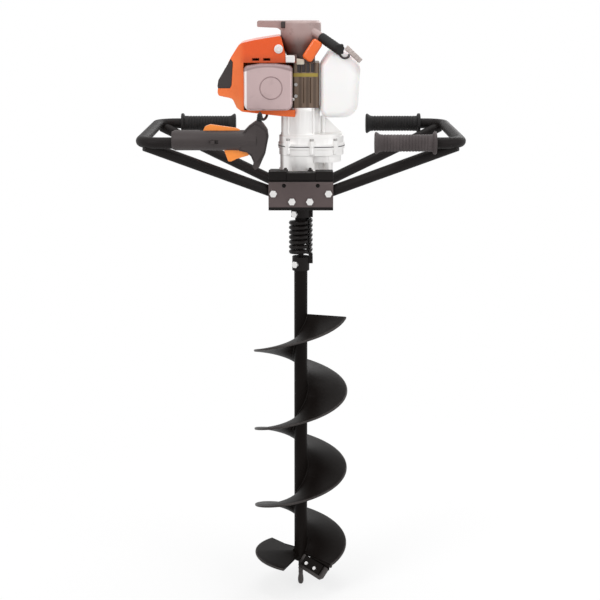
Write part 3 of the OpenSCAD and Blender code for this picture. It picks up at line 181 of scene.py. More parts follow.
def makeBitPaint():
    f, s = Finish("bitPaint"), bitPaint
    x, y, _ = f.axes()
    radius = (x * x + y * y) ** 0.5
    cloud = f.noise(s["cloud"], 5)
    streak = f.noise(s["streak"], 4, 0.6, f.stretched(s["lay"]))
    peel = f.noise(s["peel"], 2)
    rub = f.ramp(radius + s["wander"] * streak, s["rim"] + s["rubFrom"], s["rim"] + s["rubTo"])
    colour = f.mix(cloud * 0.7 + streak * 0.3, s["dark"], s["pale"])
    colour = f.mix(rub * 0.55, colour, s["rubbed"])
    roughness = s["gloss"] + 0.16 * cloud + 0.05 * peel - 0.06 * rub
    return f.close(colour, roughness, rub * 0.5, f.bump(peel, 0.12), shine=s["shine"])


# Moulded plastic: fine spark grain with a slow change of sheen and a few scuffs
mouldedSkin = {"cloud": 16, "scuff": 90, "lay": (1, 1, 4), "scuffFrom": (0.63, 0.74), "coatRough": 0.12}


def makeMoulded(name, dark, pale, gloss, grain, depth, coat=0.0, shine=0.5):
    f, s = Finish(name), mouldedSkin
    cloud, fine = f.noise(s["cloud"], 3), f.noise(grain, 3)
    scuff = f.ramp(f.noise(s["scuff"], 5, 0.62, f.stretched(s["lay"])), *s["scuffFrom"])
    colour = f.mix(cloud * 0.8 + fine * 0.2, dark, pale)
    return f.close(colour, gloss + 0.07 * cloud + 0.06 * fine + 0.10 * scuff, 0.0, f.bump(fine, depth, fineReach),
                   coat=coat, coatRough=s["coatRough"], shine=shine)


# Rubber: dull, with a slightly dusty bloom on the high spots
rubberSkin = {"cloud": 30, "pores": 900, "bloomFrom": (0.42, 0.75), "gloss": 0.62, "shine": 0.3, "reach": 0.0005}


def makeRubber(name, dark, bloom):
    f, s = Finish(name), rubberSkin
    cloud, pores = f.noise(s["cloud"], 4), f.noise(s["pores"], 3)
    colour = f.mix(f.ramp(cloud, *s["bloomFrom"]) * 0.5 + pores * 0.2, dark, bloom)
    return f.close(colour, s["gloss"] + 0.12 * pores, 0.0, f.bump(pores, 0.22, s["reach"]), shine=s["shine"])


# Bare metals: cast skin with slow clouds and stains, or a brushed lay along one axis
castSkin = {"cloud": 18, "stain": 55, "stainFrom": (0.56, 0.72), "stainDark": 0.72}
brushedSkin = {"lines": 220, "cloud": 40, "reach": 0.0003}


def castColour(f, grain, dark, pale):
    cloud, skin = f.noise(castSkin["cloud"], 5), f.noise(grain, 4, 0.6)
    return cloud, skin, f.mix(cloud * 0.6 + skin * 0.4, dark, pale)


def castStain(f):
    return f.ramp(f.noise(castSkin["stain"], 5), *castSkin["stainFrom"])


def makeCast(name, dark, pale, gloss, grain, metallic=0.85):
    f = Finish(name)
    cloud, skin, colour = castColour(f, grain, dark, pale)
    colour = f.mix(castStain(f) * 0.25, colour, [castSkin["stainDark"] * c for c in dark])
    return f.close(colour, gloss + 0.14 * skin + 0.06 * cloud, metallic, f.bump(skin, 0.20))


def makeBrushed(name, dark, pale, gloss, lay, metallic=0.9):
    f, s = Finish(name), brushedSkin
    lines = f.noise(s["lines"], 3, 0.6, f.stretched(lay))
    cloud = f.noise(s["cloud"], 3)
    colour = f.mix(lines * 0.6 + cloud * 0.4, dark, pale)
    return f.close(colour, gloss + 0.18 * lines, metallic, f.bump(lines, 0.06, s["reach"]))


# Gearbox casting: bright cast skin, with a painted dark reflection on the flank away from the tank
gearCast = {"dark": (0.84, 0.825, 0.81), "pale": (0.95, 0.94, 0.93), "shade": (0.15, 0.112, 0.105),
            "flank": (-0.0315, -0.0385), "wander": 0.004, "skin": 480, "gloss": 0.30, "metal": 0.75, "shine": 0.2}


def makeGearCast():
    f, s = Finish("castAluminium"), gearCast
    x = f.axes()[0]
    cloud, skin, colour = castColour(f, s["skin"], s["dark"], s["pale"])
    # painted dark reflection on that flank, which is also duller and less metallic there
    stain = f.ramp(x + s["wander"] * cloud, *s["flank"])
    colour = f.mix(stain * 0.8, colour, s["shade"])
    return f.close(colour, s["gloss"] + 0.14 * skin + 0.06 * cloud + 0.35 * stain, s["metal"] - s["metal"] * stain,
                   f.bump(skin, 0.20), shine=s["shine"])


# Muffler cover: pale pressed sheet, with painted shade along its arched top slope and a painted highlight along its
# left edge
mufflerTone = {
    "dark": (0.46, 0.338, 0.338), "pale": (0.60, 0.455, 0.455), "stain": (0.34, 0.25, 0.25),
    "topShade": (0.21, 0.14, 0.143), "edgeHighlight": (0.95, 0.92, 0.92), "top": (1.1335, 1.1365), "arch": 3.9,
    "middle": -0.065, "wander": 0.0012, "edge": (-0.1065, -0.1085), "skin": 700, "gloss": 0.24,
}


def makeMufflerSilver():
    f, s = Finish("mufflerSilver"), mufflerTone
    x, _, z = f.axes()
    cloud, skin, colour = castColour(f, s["skin"], s["dark"], s["pale"])
    off = x - s["middle"]
    # painted shade on the arched top slope, which is also duller and less metallic, and a painted highlight along the
    # left edge
    topShade = f.ramp(z + s["arch"] * off * off + s["wander"] * cloud, *s["top"])
    edgeHighlight = f.ramp(x, *s["edge"]) * (1 - topShade)
    colour = f.mix(castStain(f) * 0.2, colour, s["stain"])
    colour = f.mix(topShade * 0.85, colour, s["topShade"])
    colour = f.mix(edgeHighlight * 0.8, colour, s["edgeHighlight"])
    return f.close(colour, s["gloss"] + 0.14 * skin + 0.12 * topShade, 0.5 - 0.4 * topShade, f.bump(skin, 0.16))


# Shroud: orange gloss with painted light and shade: deeper near its top, painted shade on the ledge below that, and a
# paler painted highlight on the folded flank and its foot
shroudTone = {
    "deep": (0.74, 0.085, 0.005), "mid": (0.84, 0.135, 0.013), "pale": (0.92, 0.25, 0.075),
    "shade": (0.50, 0.052, 0.006), "high": (1.128, 1.166), "flank": (-0.108, -0.124), "foot": (1.092, 1.052),
    "ledgeTop": (1.162, 1.146), "ledgeFoot": (1.1405, 1.1425), "cloud": 16, "grain": 1100, "gloss": 0.22,
    "shine": 0.4, "coat": 0.25,
}


def makeShroudOrange():
    f, s = Finish("shroudOrange"), shroudTone
    x, _, z = f.axes()
    cloud, fine = f.noise(s["cloud"], 3), f.noise(s["grain"], 3)
    # painted light and shade: a deeper top, a paler lit flank and foot, and a shaded ledge
    high = f.ramp(z + 0.004 * cloud, *s["high"])
    flank = f.ramp(x + 0.003 * cloud, *s["flank"])
    foot = f.ramp(z + 0.006 * cloud, *s["foot"]) * flank
    ledge = f.ramp(z, *s["ledgeTop"]) * f.ramp(z, *s["ledgeFoot"]) * (1 - flank)
    colour = f.mix(high, s["mid"], s["deep"])
    colour = f.mix(flank * 0.35 + foot * 0.5, colour, s["pale"])
    colour = f.mix(ledge * 0.6, colour, s["shade"])
    return f.close(colour, s["gloss"] + 0.06 * cloud + 0.05 * fine, 0.0, f.bump(fine, 0.05, fineReach),
                   coat=s["coat"], coatRough=mouldedSkin["coatRough"], shine=s["shine"])


# Bracket: the powder coat with a painted grey reflection on its faces, painted shade towards the bend at its foot, and
# dark along its top
bracketTone = {"dark": (0.082, 0.062, 0.061), "pale": (0.125, 0.098, 0.097), "bend": (0.008, 0.0066, 0.0064),
               "bendFrom": (0.8592, 0.8562), "lidFrom": (0.9075, 0.9090), "gloss": 0.40}


def makeBracketCoat():
    f, s = Finish("bracketCoat"), bracketTone
    z = f.axes()[2]
    cloud, peel = f.noise(powderCoat["cloud"], 4), f.noise(powderCoat["peel"], 2)
    # a painted grey reflection on the faces, then painted shade towards the bend at the foot and dark along the top
    colour = f.mix(cloud, s["dark"], s["pale"])
    colour = f.mix(f.ramp(z, *s["bendFrom"]) | f.ramp(z, *s["lidFrom"]), colour, s["bend"])
    return f.close(colour, s["gloss"] + 0.12 * cloud + 0.05 * peel, 0.0, f.bump(peel, 0.10),
                   shine=powderCoat["shine"])


# Crankcase: dark cast skin with painted shade in upright stripes, as between ribs, and one plain painted band near the
# top of its front
caseTone = {
    "dark": (0.120, 0.082, 0.058), "pale": (0.245, 0.178, 0.132), "groove": (0.060, 0.041, 0.030),
    "band": (0.36, 0.27, 0.035), "low": 1.1135, "high": 1.1205, "front": -0.0405, "blur": 0.0004, "ribs": 430,
    "ribShift": 2.1, "ribFrom": (-0.4, 0.8), "skin": 520, "cloud": 22, "gloss": 0.42, "metal": 0.55,
}


def makeCrankcase():
    f, s = Finish("crankcaseCast"), caseTone
    x, y, z = f.axes()
    skin, cloud = f.noise(s["skin"], 4, 0.6), f.noise(s["cloud"], 4)

    def past(value, edge):
        return f.ramp(value, edge - s["blur"], edge + s["blur"])

    band = past(z, s["low"]) * (1 - past(z, s["high"])) * (1 - past(y, s["front"]))
    # painted shade: upright dark stripes stand in for the shade between ribs
    ribs = f.ramp((x * s["ribs"] + s["ribShift"]).sine(), *s["ribFrom"])
    colour = f.mix(cloud * 0.5 + skin * 0.5, s["dark"], s["pale"])
    colour = f.mix(ribs * 0.6, colour, s["groove"])
    colour = f.mix(band * 0.9, colour, s["band"])
    return f.close(colour, s["gloss"] + 0.16 * skin, s["metal"] - s["metal"] * band, f.bump(skin, 0.22))


# Tank: milky plastic, a little darker towards the foot, with painted shade, grey, on the shoulder that slopes past the
# filler neck
tankTone = {
    "thin": (0.93, 0.92, 0.915), "dense": (0.86, 0.845, 0.83), "denseFrom": (1.17, 1.03),
    "grey": (0.62, 0.565, 0.56), "neck": (0.1035, 1.152), "slope": (0.685, 0.728), "greyFrom": (-0.024, 0.001),
    "cloud": 20, "skin": 600, "gloss": 0.36, "milk": 0.15, "milkScale": 0.01,
}


def makeTankMilky():
    f, s = Finish("tankMilky"), tankTone
    x, _, z = f.axes()
    cloud, skin = f.noise(s["cloud"], 3), f.noise(s["skin"], 3)
    dense = f.ramp(z, *s["denseFrom"])
    colour = f.mix(dense * 0.3 + cloud * 0.2, s["thin"], s["dense"])
    # painted shade: grey on the shoulder beyond the filler neck
    out = s["slope"][0] * (x - s["neck"][0]) + s["slope"][1] * (z - s["neck"][1])
    colour = f.mix(f.ramp(out, *s["greyFrom"]), colour, s["grey"])
    return f.close(colour, s["gloss"] + 0.08 * skin, 0.0, f.bump(skin, 0.05, fineReach),
                   milk=s["milk"], milkScale=s["milkScale"])


# Starter cover: pale moulded cap above a darker cup
starterTone = {"cup": (0.125, 0.088, 0.080), "cap": (0.37, 0.262, 0.248), "capFrom": (1.176, 1.206), "wander": 0.006,
               "cloud": 34, "grain": 900, "stain": 75, "stainFrom": (0.55, 0.70), "gloss": 0.36}


def makeStarterGrey():
    f, s = Finish("starterMoulded"), starterTone
    z = f.axes()[2]
    cloud, fine = f.noise(s["cloud"], 4), f.noise(s["grain"], 3)
    stain = f.ramp(f.noise(s["stain"], 5, 0.62), *s["stainFrom"])
    upper = f.ramp(z + s["wander"] * cloud, *s["capFrom"])
    colour = f.mix(upper * 0.9 + cloud * 0.1, s["cup"], s["cap"])
    colour = f.mix(stain * 0.35, colour, s["cup"])
    return f.close(colour, s["gloss"] + 0.08 * cloud + 0.06 * fine, 0.0, f.bump(fine, 0.14, fineReach))


# Rope: slanted lay lines along its length
ropeTone = {"dark": (0.42, 0.39, 0.34), "pale": (0.76, 0.73, 0.67), "slant": 0.6, "lay": 2600, "fibre": 1800}


def makeRopeFibre():
    f, s = Finish("ropeFibre"), ropeTone
    x, y, z = f.axes()
    lay = ((y + x * s["slant"] + z * s["slant"]) * s["lay"]).sine()
    fibre = f.noise(s["fibre"], 3)
    colour = f.mix(lay * 0.35 + 0.5 * fibre, s["dark"], s["pale"])
    return f.close(colour, 0.8, 0.0, f.bump(lay * 0.7 + fibre * 0.3, 0.5))


# Finishes of the slots, then those of single pieces: mostly two tones, gloss, grain or lay, and what else differs
finishes = {
    "black_paint": makePowderCoat("powderCoat", powderCoat),
    "black_plastic": makeMoulded("blackMoulded", (0.028, 0.0215, 0.021), (0.056, 0.045, 0.0445), 0.46, 1200, 0.18,
                                 shine=0.3),
    "grip_rubber": makeRubber("gripRubber", (0.0065, 0.0058, 0.0058), (0.018, 0.016, 0.0155)),
    "blade_steel": makeBrushed("bladeSteel", (0.035, 0.030, 0.029), (0.085, 0.076, 0.073), 0.30, (1, 1, 0.1), 0.6),
    "bright_steel": makeBrushed("zincBright", (0.66, 0.65, 0.64), (0.86, 0.85, 0.84), 0.22, (1, 0.2, 1)),
    "gear_steel": makeBrushed("gearSteel", (0.34, 0.33, 0.32), (0.56, 0.55, 0.54), 0.26, (1, 1, 0.15)),
    "spring_steel": makePowderCoat("springBlack", {**powderCoat, "gloss": 0.24, "pale": (0.016, 0.013, 0.0125)}),
    "cast_aluminium": makeGearCast(),
    "engine_aluminium": makeCrankcase(),
    "muffler_metal": makeMufflerSilver(),
    "orange_plastic": makeMoulded("orangeGloss", (0.77, 0.112, 0.010), (0.86, 0.158, 0.018), 0.20, 1100, 0.05, 0.25),
    "grey_plastic": makeMoulded("greyMoulded", (0.27, 0.195, 0.180), (0.40, 0.290, 0.270), 0.36, 900, 0.14),
    "tank_plastic": makeTankMilky(),
    "cap_plastic": makeMoulded("capPale", (0.45, 0.385, 0.36), (0.57, 0.50, 0.47), 0.38, 900, 0.10),
    "rope_fibre": makeRopeFibre(),
}
special = {
    "bit": makeBitPaint(),
    "bracket": makeBracketCoat(),
    "shroud": makeShroudOrange(),
    "starter": makeStarterGrey(),
    # a paler copy of the grip rubber, for one grip: a painted highlight
    "highlitGrip": makeRubber("gripRubberHighlit", (0.048, 0.0385, 0.0385), (0.095, 0.078, 0.078)),
    "trigger": makeMoulded("triggerOrange", (0.84, 0.225, 0.022), (0.91, 0.285, 0.038), 0.24, 1100, 0.06, 0.2),
    "cylinder": makeCast("cylinderCast", (0.30, 0.285, 0.27), (0.46, 0.44, 0.42), 0.36, 500),
    "ring": makeCast("mufflerShade", (0.26, 0.18, 0.18), (0.36, 0.26, 0.26), 0.34, 700, 0.45),
    "cream": makeMoulded("creamBlock", (0.62, 0.59, 0.47), (0.74, 0.71, 0.60), 0.42, 900, 0.12),
}
print("finishes made:", len(finishes) + len(special))


# Mesh helpers
def newObject(name, data):
    thing = bpy.data.objects.new(name, data)
    scene.collection.objects.link(thing)
    return thing


def shadedPiece(name, mesh, smoothAngle):
    mesh.shade_smooth()
    mesh.set_sharp_from_angle(angle=math.radians(smoothAngle))
    return newObject(name, mesh)


def newPiece(name, verts, faces, smoothAngle=40):
    mesh = bpy.data.meshes.new(name)
    mesh.from_pydata(np.asarray(verts, float).reshape(-1, 3).tolist(), [], faces)
    mesh.validate()
    return shadedPiece(name, mesh, smoothAngle)


def unit(rows):
    return rows / np.linalg.norm(rows, axis=1, keepdims=True)


# points round a circle: cos * u + sin * v
def ringOf(u, v, sides):
    turn = np.linspace(0, 2 * np.pi, sides, endpoint=False)[:, None]
    return np.cos(turn) * u[..., None, :] + np.sin(turn) * v[..., None, :]


# faces of a grid of n rows and k columns: columns wrap round, and rows do too or else their ends are capped
def gridFaces(n, k, wrapRows=False):
    i, j = np.meshgrid(np.arange(n if wrapRows else n - 1), np.arange(k), indexing="ij")
    row, nextRow, nextColumn = i * k, ((i + 1) % n) * k, (j + 1) % k
    faces = np.stack([row + j, row + nextColumn, nextRow + nextColumn, nextRow + j], axis=-1).reshape(-1, 4).tolist()
    if not wrapRows:
        faces += [list(range(k))[::-1], [(n - 1) * k + c for c in range(k)]]
    return faces


# a ring of points round each path point, square to the path, with a radius per station, in millimetres
def sweptTube(name, path, radius, sides):
    path = np.asarray(path, float) * mm
    along = unit(np.gradient(path, axis=0))
    helper = np.where(np.abs(along[:, :1]) > 0.8, [[0.0, 1.0, 0.0]], [[1.0, 0.0, 0.0]])
    u = unit(np.cross(along, helper))
    radius = np.broadcast_to(np.asarray(radius, float) * mm, (len(path),))
    verts = path[:, None] + radius[:, None, None] * ringOf(u, np.cross(along, u), sides)
    return newPiece(name, verts, gridFaces(len(path), sides), 60)


# a profile of (radius, height) pairs turned about an axis through a place, in millimetres; a hoop's profile is closed
def turned(name, profile, place, axis, sides, smoothAngle, hoop=False):
    profile, place = np.asarray(profile, float) * mm, np.asarray(place, float) * mm
    w = np.asarray(axis, float) / np.linalg.norm(axis)
    u = np.cross(w, (0, 0, 1) if abs(w[2]) < 0.9 else (1, 0, 0))
    u /= np.linalg.norm(u)
    ring = ringOf(u, np.cross(w, u), sides)
    verts = place + profile[:, 0][:, None, None] * ring[None] + (profile[:, 1][:, None] * w)[:, None]
    return newPiece(name, verts, gridFaces(len(profile), sides, hoop), smoothAngle)


# a curve through given points, the same one that the CAD source uses
def smoothRoute(points, steps):
    p = np.asarray(points, float)
    padded = np.vstack([p[:1], p, p[-1:]])
    t = np.arange(steps)[:, None] / steps
    spans = [0.5 * (2 * b + (c - a) * t + (2 * a - 5 * b + 4 * c - d) * t ** 2 + (3 * b - a - 3 * c + d) * t ** 3)
             for a, b, c, d in zip(padded[:-3], padded[1:-2], padded[2:-1], padded[3:])]
    return np.vstack(spans + [p[-1:]])


# an outline whose sides each move inwards by their own amount; a corner is where two moved sides cross
def drawnIn(corners, amounts):
    p = np.asarray(corners, float)
    side = unit(np.roll(p, -1, axis=0) - p)
    after = np.stack([-side[:, 1], side[:, 0]], axis=1)
    before = np.roll(after, 1, axis=0)
    d0, d1 = np.roll(amounts, 1), amounts
    cross = before[:, 0] * after[:, 1] - before[:, 1] * after[:, 0]
    move = np.stack([d0 * after[:, 1] - d1 * before[:, 1], before[:, 0] * d1 - after[:, 0] * d0], axis=1)
    return p + move / cross[:, None], np.sign(cross), (d0 + d1) / 2


# each corner of an outline becomes an arc that touches both its sides
def roundedOutline(corners, radii, steps):
    p, r = np.asarray(corners, float), np.asarray(radii, float)
    u, v = unit(np.roll(p, 1, axis=0) - p), unit(np.roll(p, -1, axis=0) - p)
    half = np.arccos(np.clip((u * v).sum(axis=1), -1, 1)) / 2
    centre = p + unit(u + v) * (r / np.sin(half))[:, None]
    start = p + u * (r / np.tan(half))[:, None] - centre
    end = p + v * (r / np.tan(half))[:, None] - centre
    first = np.arctan2(start[:, 1], start[:, 0])
    sweep = (np.arctan2(end[:, 1], end[:, 0]) - first + 3 * np.pi) % (2 * np.pi) - np.pi
    angle = first[:, None] + sweep[:, None] * np.linspace(0, 1, steps)
    arc = np.stack([np.cos(angle), np.sin(angle)], axis=-1) * r[:, None, None]
    return (centre[:, None] + arc).reshape(-1, 2)


leastCorner = 0.3


# a block along y with soft edges: towards either end the outline is drawn in by soft * (1 - cos)
# as y goes on by deep * sin
def softBlock(name, s, steps, arcSteps):
    soft = np.broadcast_to(s["soft"], len(s["corners"]))
    phase = np.radians(np.linspace(0, 90, steps))
    phases = np.concatenate([phase[::-1], phase])
    (back, front), deep = s["y"], s["deep"]
    depth = np.concatenate([back - deep * (1 - np.sin(phase[::-1])), front + deep * (1 - np.sin(phase))])
    rows = []
    for turn, y in zip(phases, depth):
        moved, bulge, amount = drawnIn(s["corners"], soft * (1 - math.cos(turn)))
        flat = roundedOutline(moved, np.maximum(s["radii"] - bulge * amount, leastCorner), arcSteps)
        rows.append(np.stack([flat[:, 0], np.full(len(flat), y), flat[:, 1]], axis=1))
    piece = newPiece(name, np.stack(rows) * mm, gridFaces(len(rows), len(rows[0])))
    piece.modifiers.new("evenNormals", "WEIGHTED_NORMAL").keep_sharp = True
    return piece


# corners of a rectangle between two opposite ones
def rectangle(x0, z0, x1, z1):
    return [(x0, z0), (x1, z0), (x1, z1), (x0, z1)]


# points at a radius, an angle and a height
def helix(radius, angle, rise):
    return np.stack([radius * np.cos(angle), radius * np.sin(angle), rise], axis=1)


# an arc about (x, y) of radius r from one angle to another, in degrees, or a full circle
def arcPoints(x, y, r, first, last, count, closed=True):
    angle = np.radians(np.linspace(first, last, count, endpoint=closed))
    return np.stack([x + r * np.cos(angle), y + r * np.sin(angle)], axis=1)


def circlePoints(x, y, r, count):
    return arcPoints(x, y, r, 0, 360, count, False)


# an outline in x and y at each of some heights
def stacked(outline, heights):
    return np.stack([np.column_stack([outline, np.full(len(outline), z)]) for z in heights])


# a round on every edge sharper than an angle, or without an angle on the edges that carry a weight
def softenEdges(piece, width, segments=2, angle=None):
    edge = piece.modifiers.new("edgeRound", "BEVEL")
    edge.width, edge.segments = width * mm, segments
    edge.limit_method = "ANGLE" if angle else "WEIGHT"
    if angle:
        edge.angle_limit = math.radians(angle)
    edge.use_clamp_overlap, edge.harden_normals = True, True


# finish, body, slot and replaced nodes of a piece; a piece given no body is left unattached
def dress(piece, slot, *replaced, body="frame", finish=None):
    piece.data.materials.append(finish or finishes[slot])
    if body:
        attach(piece, body)
    if replaced:
        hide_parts(*replaced)
    return piece


# A merged copy of a CAD solid as a new object: corners closer than near metres join, faces within flat degrees too
copySettings = {"near": 4e-6, "flat": 0.5}


def solidCopy(name, smoothAngle):
    shape = bmesh.new()
    shape.from_mesh(nodes[name].data)
    bmesh.ops.remove_doubles(shape, verts=shape.verts, dist=copySettings["near"])
    bmesh.ops.dissolve_limit(shape, angle_limit=math.radians(copySettings["flat"]), verts=shape.verts,
                             edges=shape.edges)
    mesh = bpy.data.meshes.new(name + "_shape")
    shape.to_mesh(mesh)
    shape.free()
    return shadedPiece(name + "_shape", mesh, smoothAngle)


# Camera at the photograph's viewing angle
cameraSettings = {"place": (-0.0017, -2.875, 1.302), "tiltDown": 12.9, "lens": 83.7, "sensor": 36}
view = bpy.data.cameras.new("photoView")
view.lens, view.sensor_width = cameraSettings["lens"], cameraSettings["sensor"]
viewer = newObject("photoView", view)
viewer.location = cameraSettings["place"]
viewer.rotation_euler = (math.radians(90 - cameraSettings["tiltDown"]), 0, 0)
scene.camera = viewer

# Every CAD solid takes its slot's finish, apart from a few with their own
slotOf = {s["node"]: s["material_slot"] for s in frame["record"]["subparts"]}
bodyOf = {n: body for body, members in frame["record"]["behaviour"]["bodies"].items() for n in members}
ownFinish = {"auger_tube": "bit", "blade_holders": "bit", "bracket": "bracket", "starter_housing": "starter",
             "throttle_trigger": "trigger", "lock_lever": "trigger", "engine_cylinder": "cylinder",
             "grip_front_right": "highlitGrip"}
finishOf = {name: finishes[slot] for name, slot in slotOf.items()}
finishOf.update({name: special[kind] for name, kind in ownFinish.items()})
for name, solid in nodes.items():
    solid.data.materials.clear()
    solid.data.materials.append(finishOf[name])

# Castings, covers and fittings: the CAD solids with their sharp edges rounded, widths in millimetres
sharpEdge = 34
edgeWidths = {
    "gearbox_clamps": 1.6, "gearbox_upper": 1.4, "clutch_housing": 1.2, "crankcase": 1.0, "fuel_cap": 1.2,
    "lower_hub": 0.8, "upper_hub": 0.8, "cutting_blades": 0.5, "blade_bolts": 0.5, "frame_bolts": 0.6,
    "hub_bolt": 0.6, "bit_bolt": 0.6, "handle_shell_front": 1.6, "handle_shell_back": 1.6, "stop_switch": 0.6,
    "vent_grille": 0.8, "air_filter_cover": 1.6, "carburettor": 0.8, "throttle_arm": 0.4, "choke_lever": 0.8,
    "starter_grip": 1.6, "blade_holders": 0.7, "bracket": 1.2, "starter_housing": 1.2, "throttle_trigger": 1.6,
    "lock_lever": 1.6,
}
for name, width in edgeWidths.items():
    rounded = solidCopy(name, sharpEdge)
    softenEdges(rounded, width, angle=sharpEdge)
    dress(rounded, slotOf[name], name, body=bodyOf[name], finish=finishOf[name])
print("edges rounded:", len(edgeWidths))

# Lower gearbox casting: slim round the foot of the second shaft, wide below the joint, with ears, columns
# and a foot plate; each is an upright prism, and those that meet lap over each other
castingSettings = {
    "centre": 43.75, "slim": 42.4, "side": 22, "wheel": (39, 939), "wide": 44.4, "flange": 46.4, "foot": 910,
    "wideFrom": 953, "flangeFrom": 966, "joint": 972, "lap": 1, "ears": [(-26, 36), (22, 44.4), (70, 35.8)],
    "earRadius": 5.5, "earFrom": 956, "earGap": 0.1, "column": (55.75, 30, 7), "plate": (-45.4, 65, 62, 918),
    "boss": (28, 896), "round": 1.2, "sharp": 50,
}


def makeCasting():
    s = castingSettings
    centre, foot, slimTop = s["centre"], s["foot"], s["wideFrom"] + s["lap"]
    meet = math.degrees(math.asin(s["side"] / s["slim"]))
    slim = np.vstack([arcPoints(0, 0, s["slim"], meet, 360 - meet, 60), arcPoints(centre, 0, s["side"], -90, 90, 30)])
    wide, flange = (np.vstack([arcPoints(0, 0, r, 90, 270, 46), arcPoints(centre, 0, r, -90, 90, 46)])
                    for r in (s["wide"], s["flange"]))
    x0, x1, y, plateTop = s["plate"]
    parts = [(slim, foot, slimTop),
             (circlePoints(centre, 0, s["wheel"][0], 72), s["wheel"][1], slimTop),
             (wide, s["wideFrom"], s["joint"] - s["lap"]),
             (flange, s["flangeFrom"], s["joint"]),
             (rectangle(x0, -y, x1, y), foot, plateTop),
             (circlePoints(0, 0, s["boss"][0], 45), s["boss"][1], foot + s["lap"])]
    columnX, columnY, columnRadius = s["column"]
    for side in (-1, 1):
        parts += [(circlePoints(x, side * far, s["earRadius"], 24), s["earFrom"], s["joint"] - s["earGap"])
                  for x, far in s["ears"]]
        parts.append((circlePoints(columnX, side * columnY, columnRadius, 24), foot, slimTop))
    verts, faces, count = [], [], 0
    for outline, low, high in parts:
        faces += [[count + i for i in face] for face in gridFaces(2, len(outline))]
        verts.append(stacked(outline, (low, high)).reshape(-1, 3))
        count += 2 * len(outline)
    casting = newPiece("gearbox_casting", np.vstack(verts) * mm, faces, sharpEdge)
    softenEdges(casting, s["round"], angle=s["sharp"])
    dress(casting, "cast_aluminium", "gearbox_lower")


makeCasting()

# Fuel tank: a blown shell, softest on its outer side, with a moulding seam round its middle, a threaded neck and a hook
tankSettings = {
    "corners": [(39.5, 1031), (115, 1031), (120.5, 1136), (86.5, 1168), (59.5, 1168), (39.5, 1138)],
    "radii": [16, 32, 26, 30, 14, 18], "soft": [14, 26, 18, 14, 10, 8], "y": (58, -52), "deep": 21,
    "seamAt": 3, "seamMiddle": (80, 1100), "seamHigh": 0.7, "seamWide": 1.1, "neck": (103.5, 3, 1152),
    "tilt": math.atan2(32, 34), "neckFoot": -3, "neckTop": 4.6, "neckRadius": 15.2, "neckBore": 13, "thread": 0.5,
    "threadPitch": 2.4, "hookRadius": 2.2, "hookLift": 1.1, "hookFrom": -300,
    "hook": [(77.5, 1157.5), (79.5, 1154.6), (83, 1151.8), (87.4, 1150.6), (92, 1151.2), (95.2, 1153.4),
             (95.8, 1156.4)],
}


def makeTank():
    s = tankSettings
    shell = dress(softBlock("fuel_tank_shell", s, 9, 9), "tank_plastic", "fuel_tank")
    loop = roundedOutline(s["corners"], s["radii"], 9)
    section = np.radians(np.arange(0, 360, 60))
    out = unit(loop - s["seamMiddle"])
    high = s["seamHigh"] * np.cos(section)
    wide = s["seamAt"] + s["seamWide"] * np.sin(section) + 0 * loop[:, :1]
    ridge = np.stack([loop[:, :1] + high * out[:, :1], wide, loop[:, 1:] + high * out[:, 1:]], axis=-1)
    dress(newPiece("tank_seam", ridge * mm, gridFaces(len(loop), len(section), True), 80), "tank_plastic")
    axis = (math.sin(s["tilt"]), 0, math.cos(s["tilt"]))
    height = np.linspace(s["neckFoot"], s["neckTop"], 30)
    thread = s["neckRadius"] + s["thread"] * np.sin(height * 2 * np.pi / s["threadPitch"])
    bore = [[s["neckBore"], s["neckTop"]], [s["neckBore"], s["neckFoot"]]]
    profile = np.vstack([np.stack([thread, height], axis=1), bore])
    dress(turned("tank_neck", profile, s["neck"], axis, 40, 60, True), "tank_plastic")
    # the hook's route is cast straight back onto the shell, stands off it by the lift, and sinks in at both ends
    hook = smoothRoute(s["hook"], 8)
    faces = BVHTree.FromPolygons([v.co for v in shell.data.vertices], [face.vertices for face in shell.data.polygons])
    hits = [faces.ray_cast(Vector((x * mm, s["hookFrom"] * mm, z * mm)), Vector((0, 1, 0))) for x, z in hook]
    lift = np.full(len(hook), s["hookLift"])
    lift[[0, -1]] = -2 * s["hookLift"]
    path = np.array([hit[0] + hit[1] * up * mm for hit, up in zip(hits, lift)]) / mm
    dress(sweptTube("tank_hook", path, s["hookRadius"], 14), "black_plastic")


makeTank()

# Muffler cover: a pressed shell with soft edges and a plain raised ring
mufflerSettings = {
    "corners": [(-113.5, 1049), (-16.5, 1049), (-16.5, 1136), (-48.8, 1141), (-81.2, 1141), (-113.5, 1136)],
    "radii": [13, 13, 9, 40, 40, 9], "y": (-45, -84.5), "soft": [5, 5, 10, 10, 10, 5], "deep": 9,
    "ring": (-59.2, -84.5, 1094), "ringRadius": 22, "ringWide": 1.2, "ringHigh": 0.9,
}


def makeMufflerCover():
    s = mufflerSettings
    dress(softBlock("muffler_cover", s, 9, 7), "muffler_metal", "muffler")
    turn = np.radians(np.arange(0, 360, 30))
    profile = np.stack([s["ringRadius"] + s["ringWide"] * np.cos(turn), s["ringHigh"] * np.sin(turn)], axis=1)
    ring = turned("muffler_ring", profile, s["ring"], (0, -1, 0), 72, 80, True)
    # the ring's darker copy of the muffler metal is painted shade
    dress(ring, "muffler_metal", finish=special["ring"])


makeMufflerCover()

# Cooling shroud: the CAD shell, whose sharp edges on its front and back faces, at half its depth, get a wide round
shroudSettings = {"half": 58, "near": 0.2, "sharp": 25, "smooth": 30, "round": 2.5, "segments": 4}


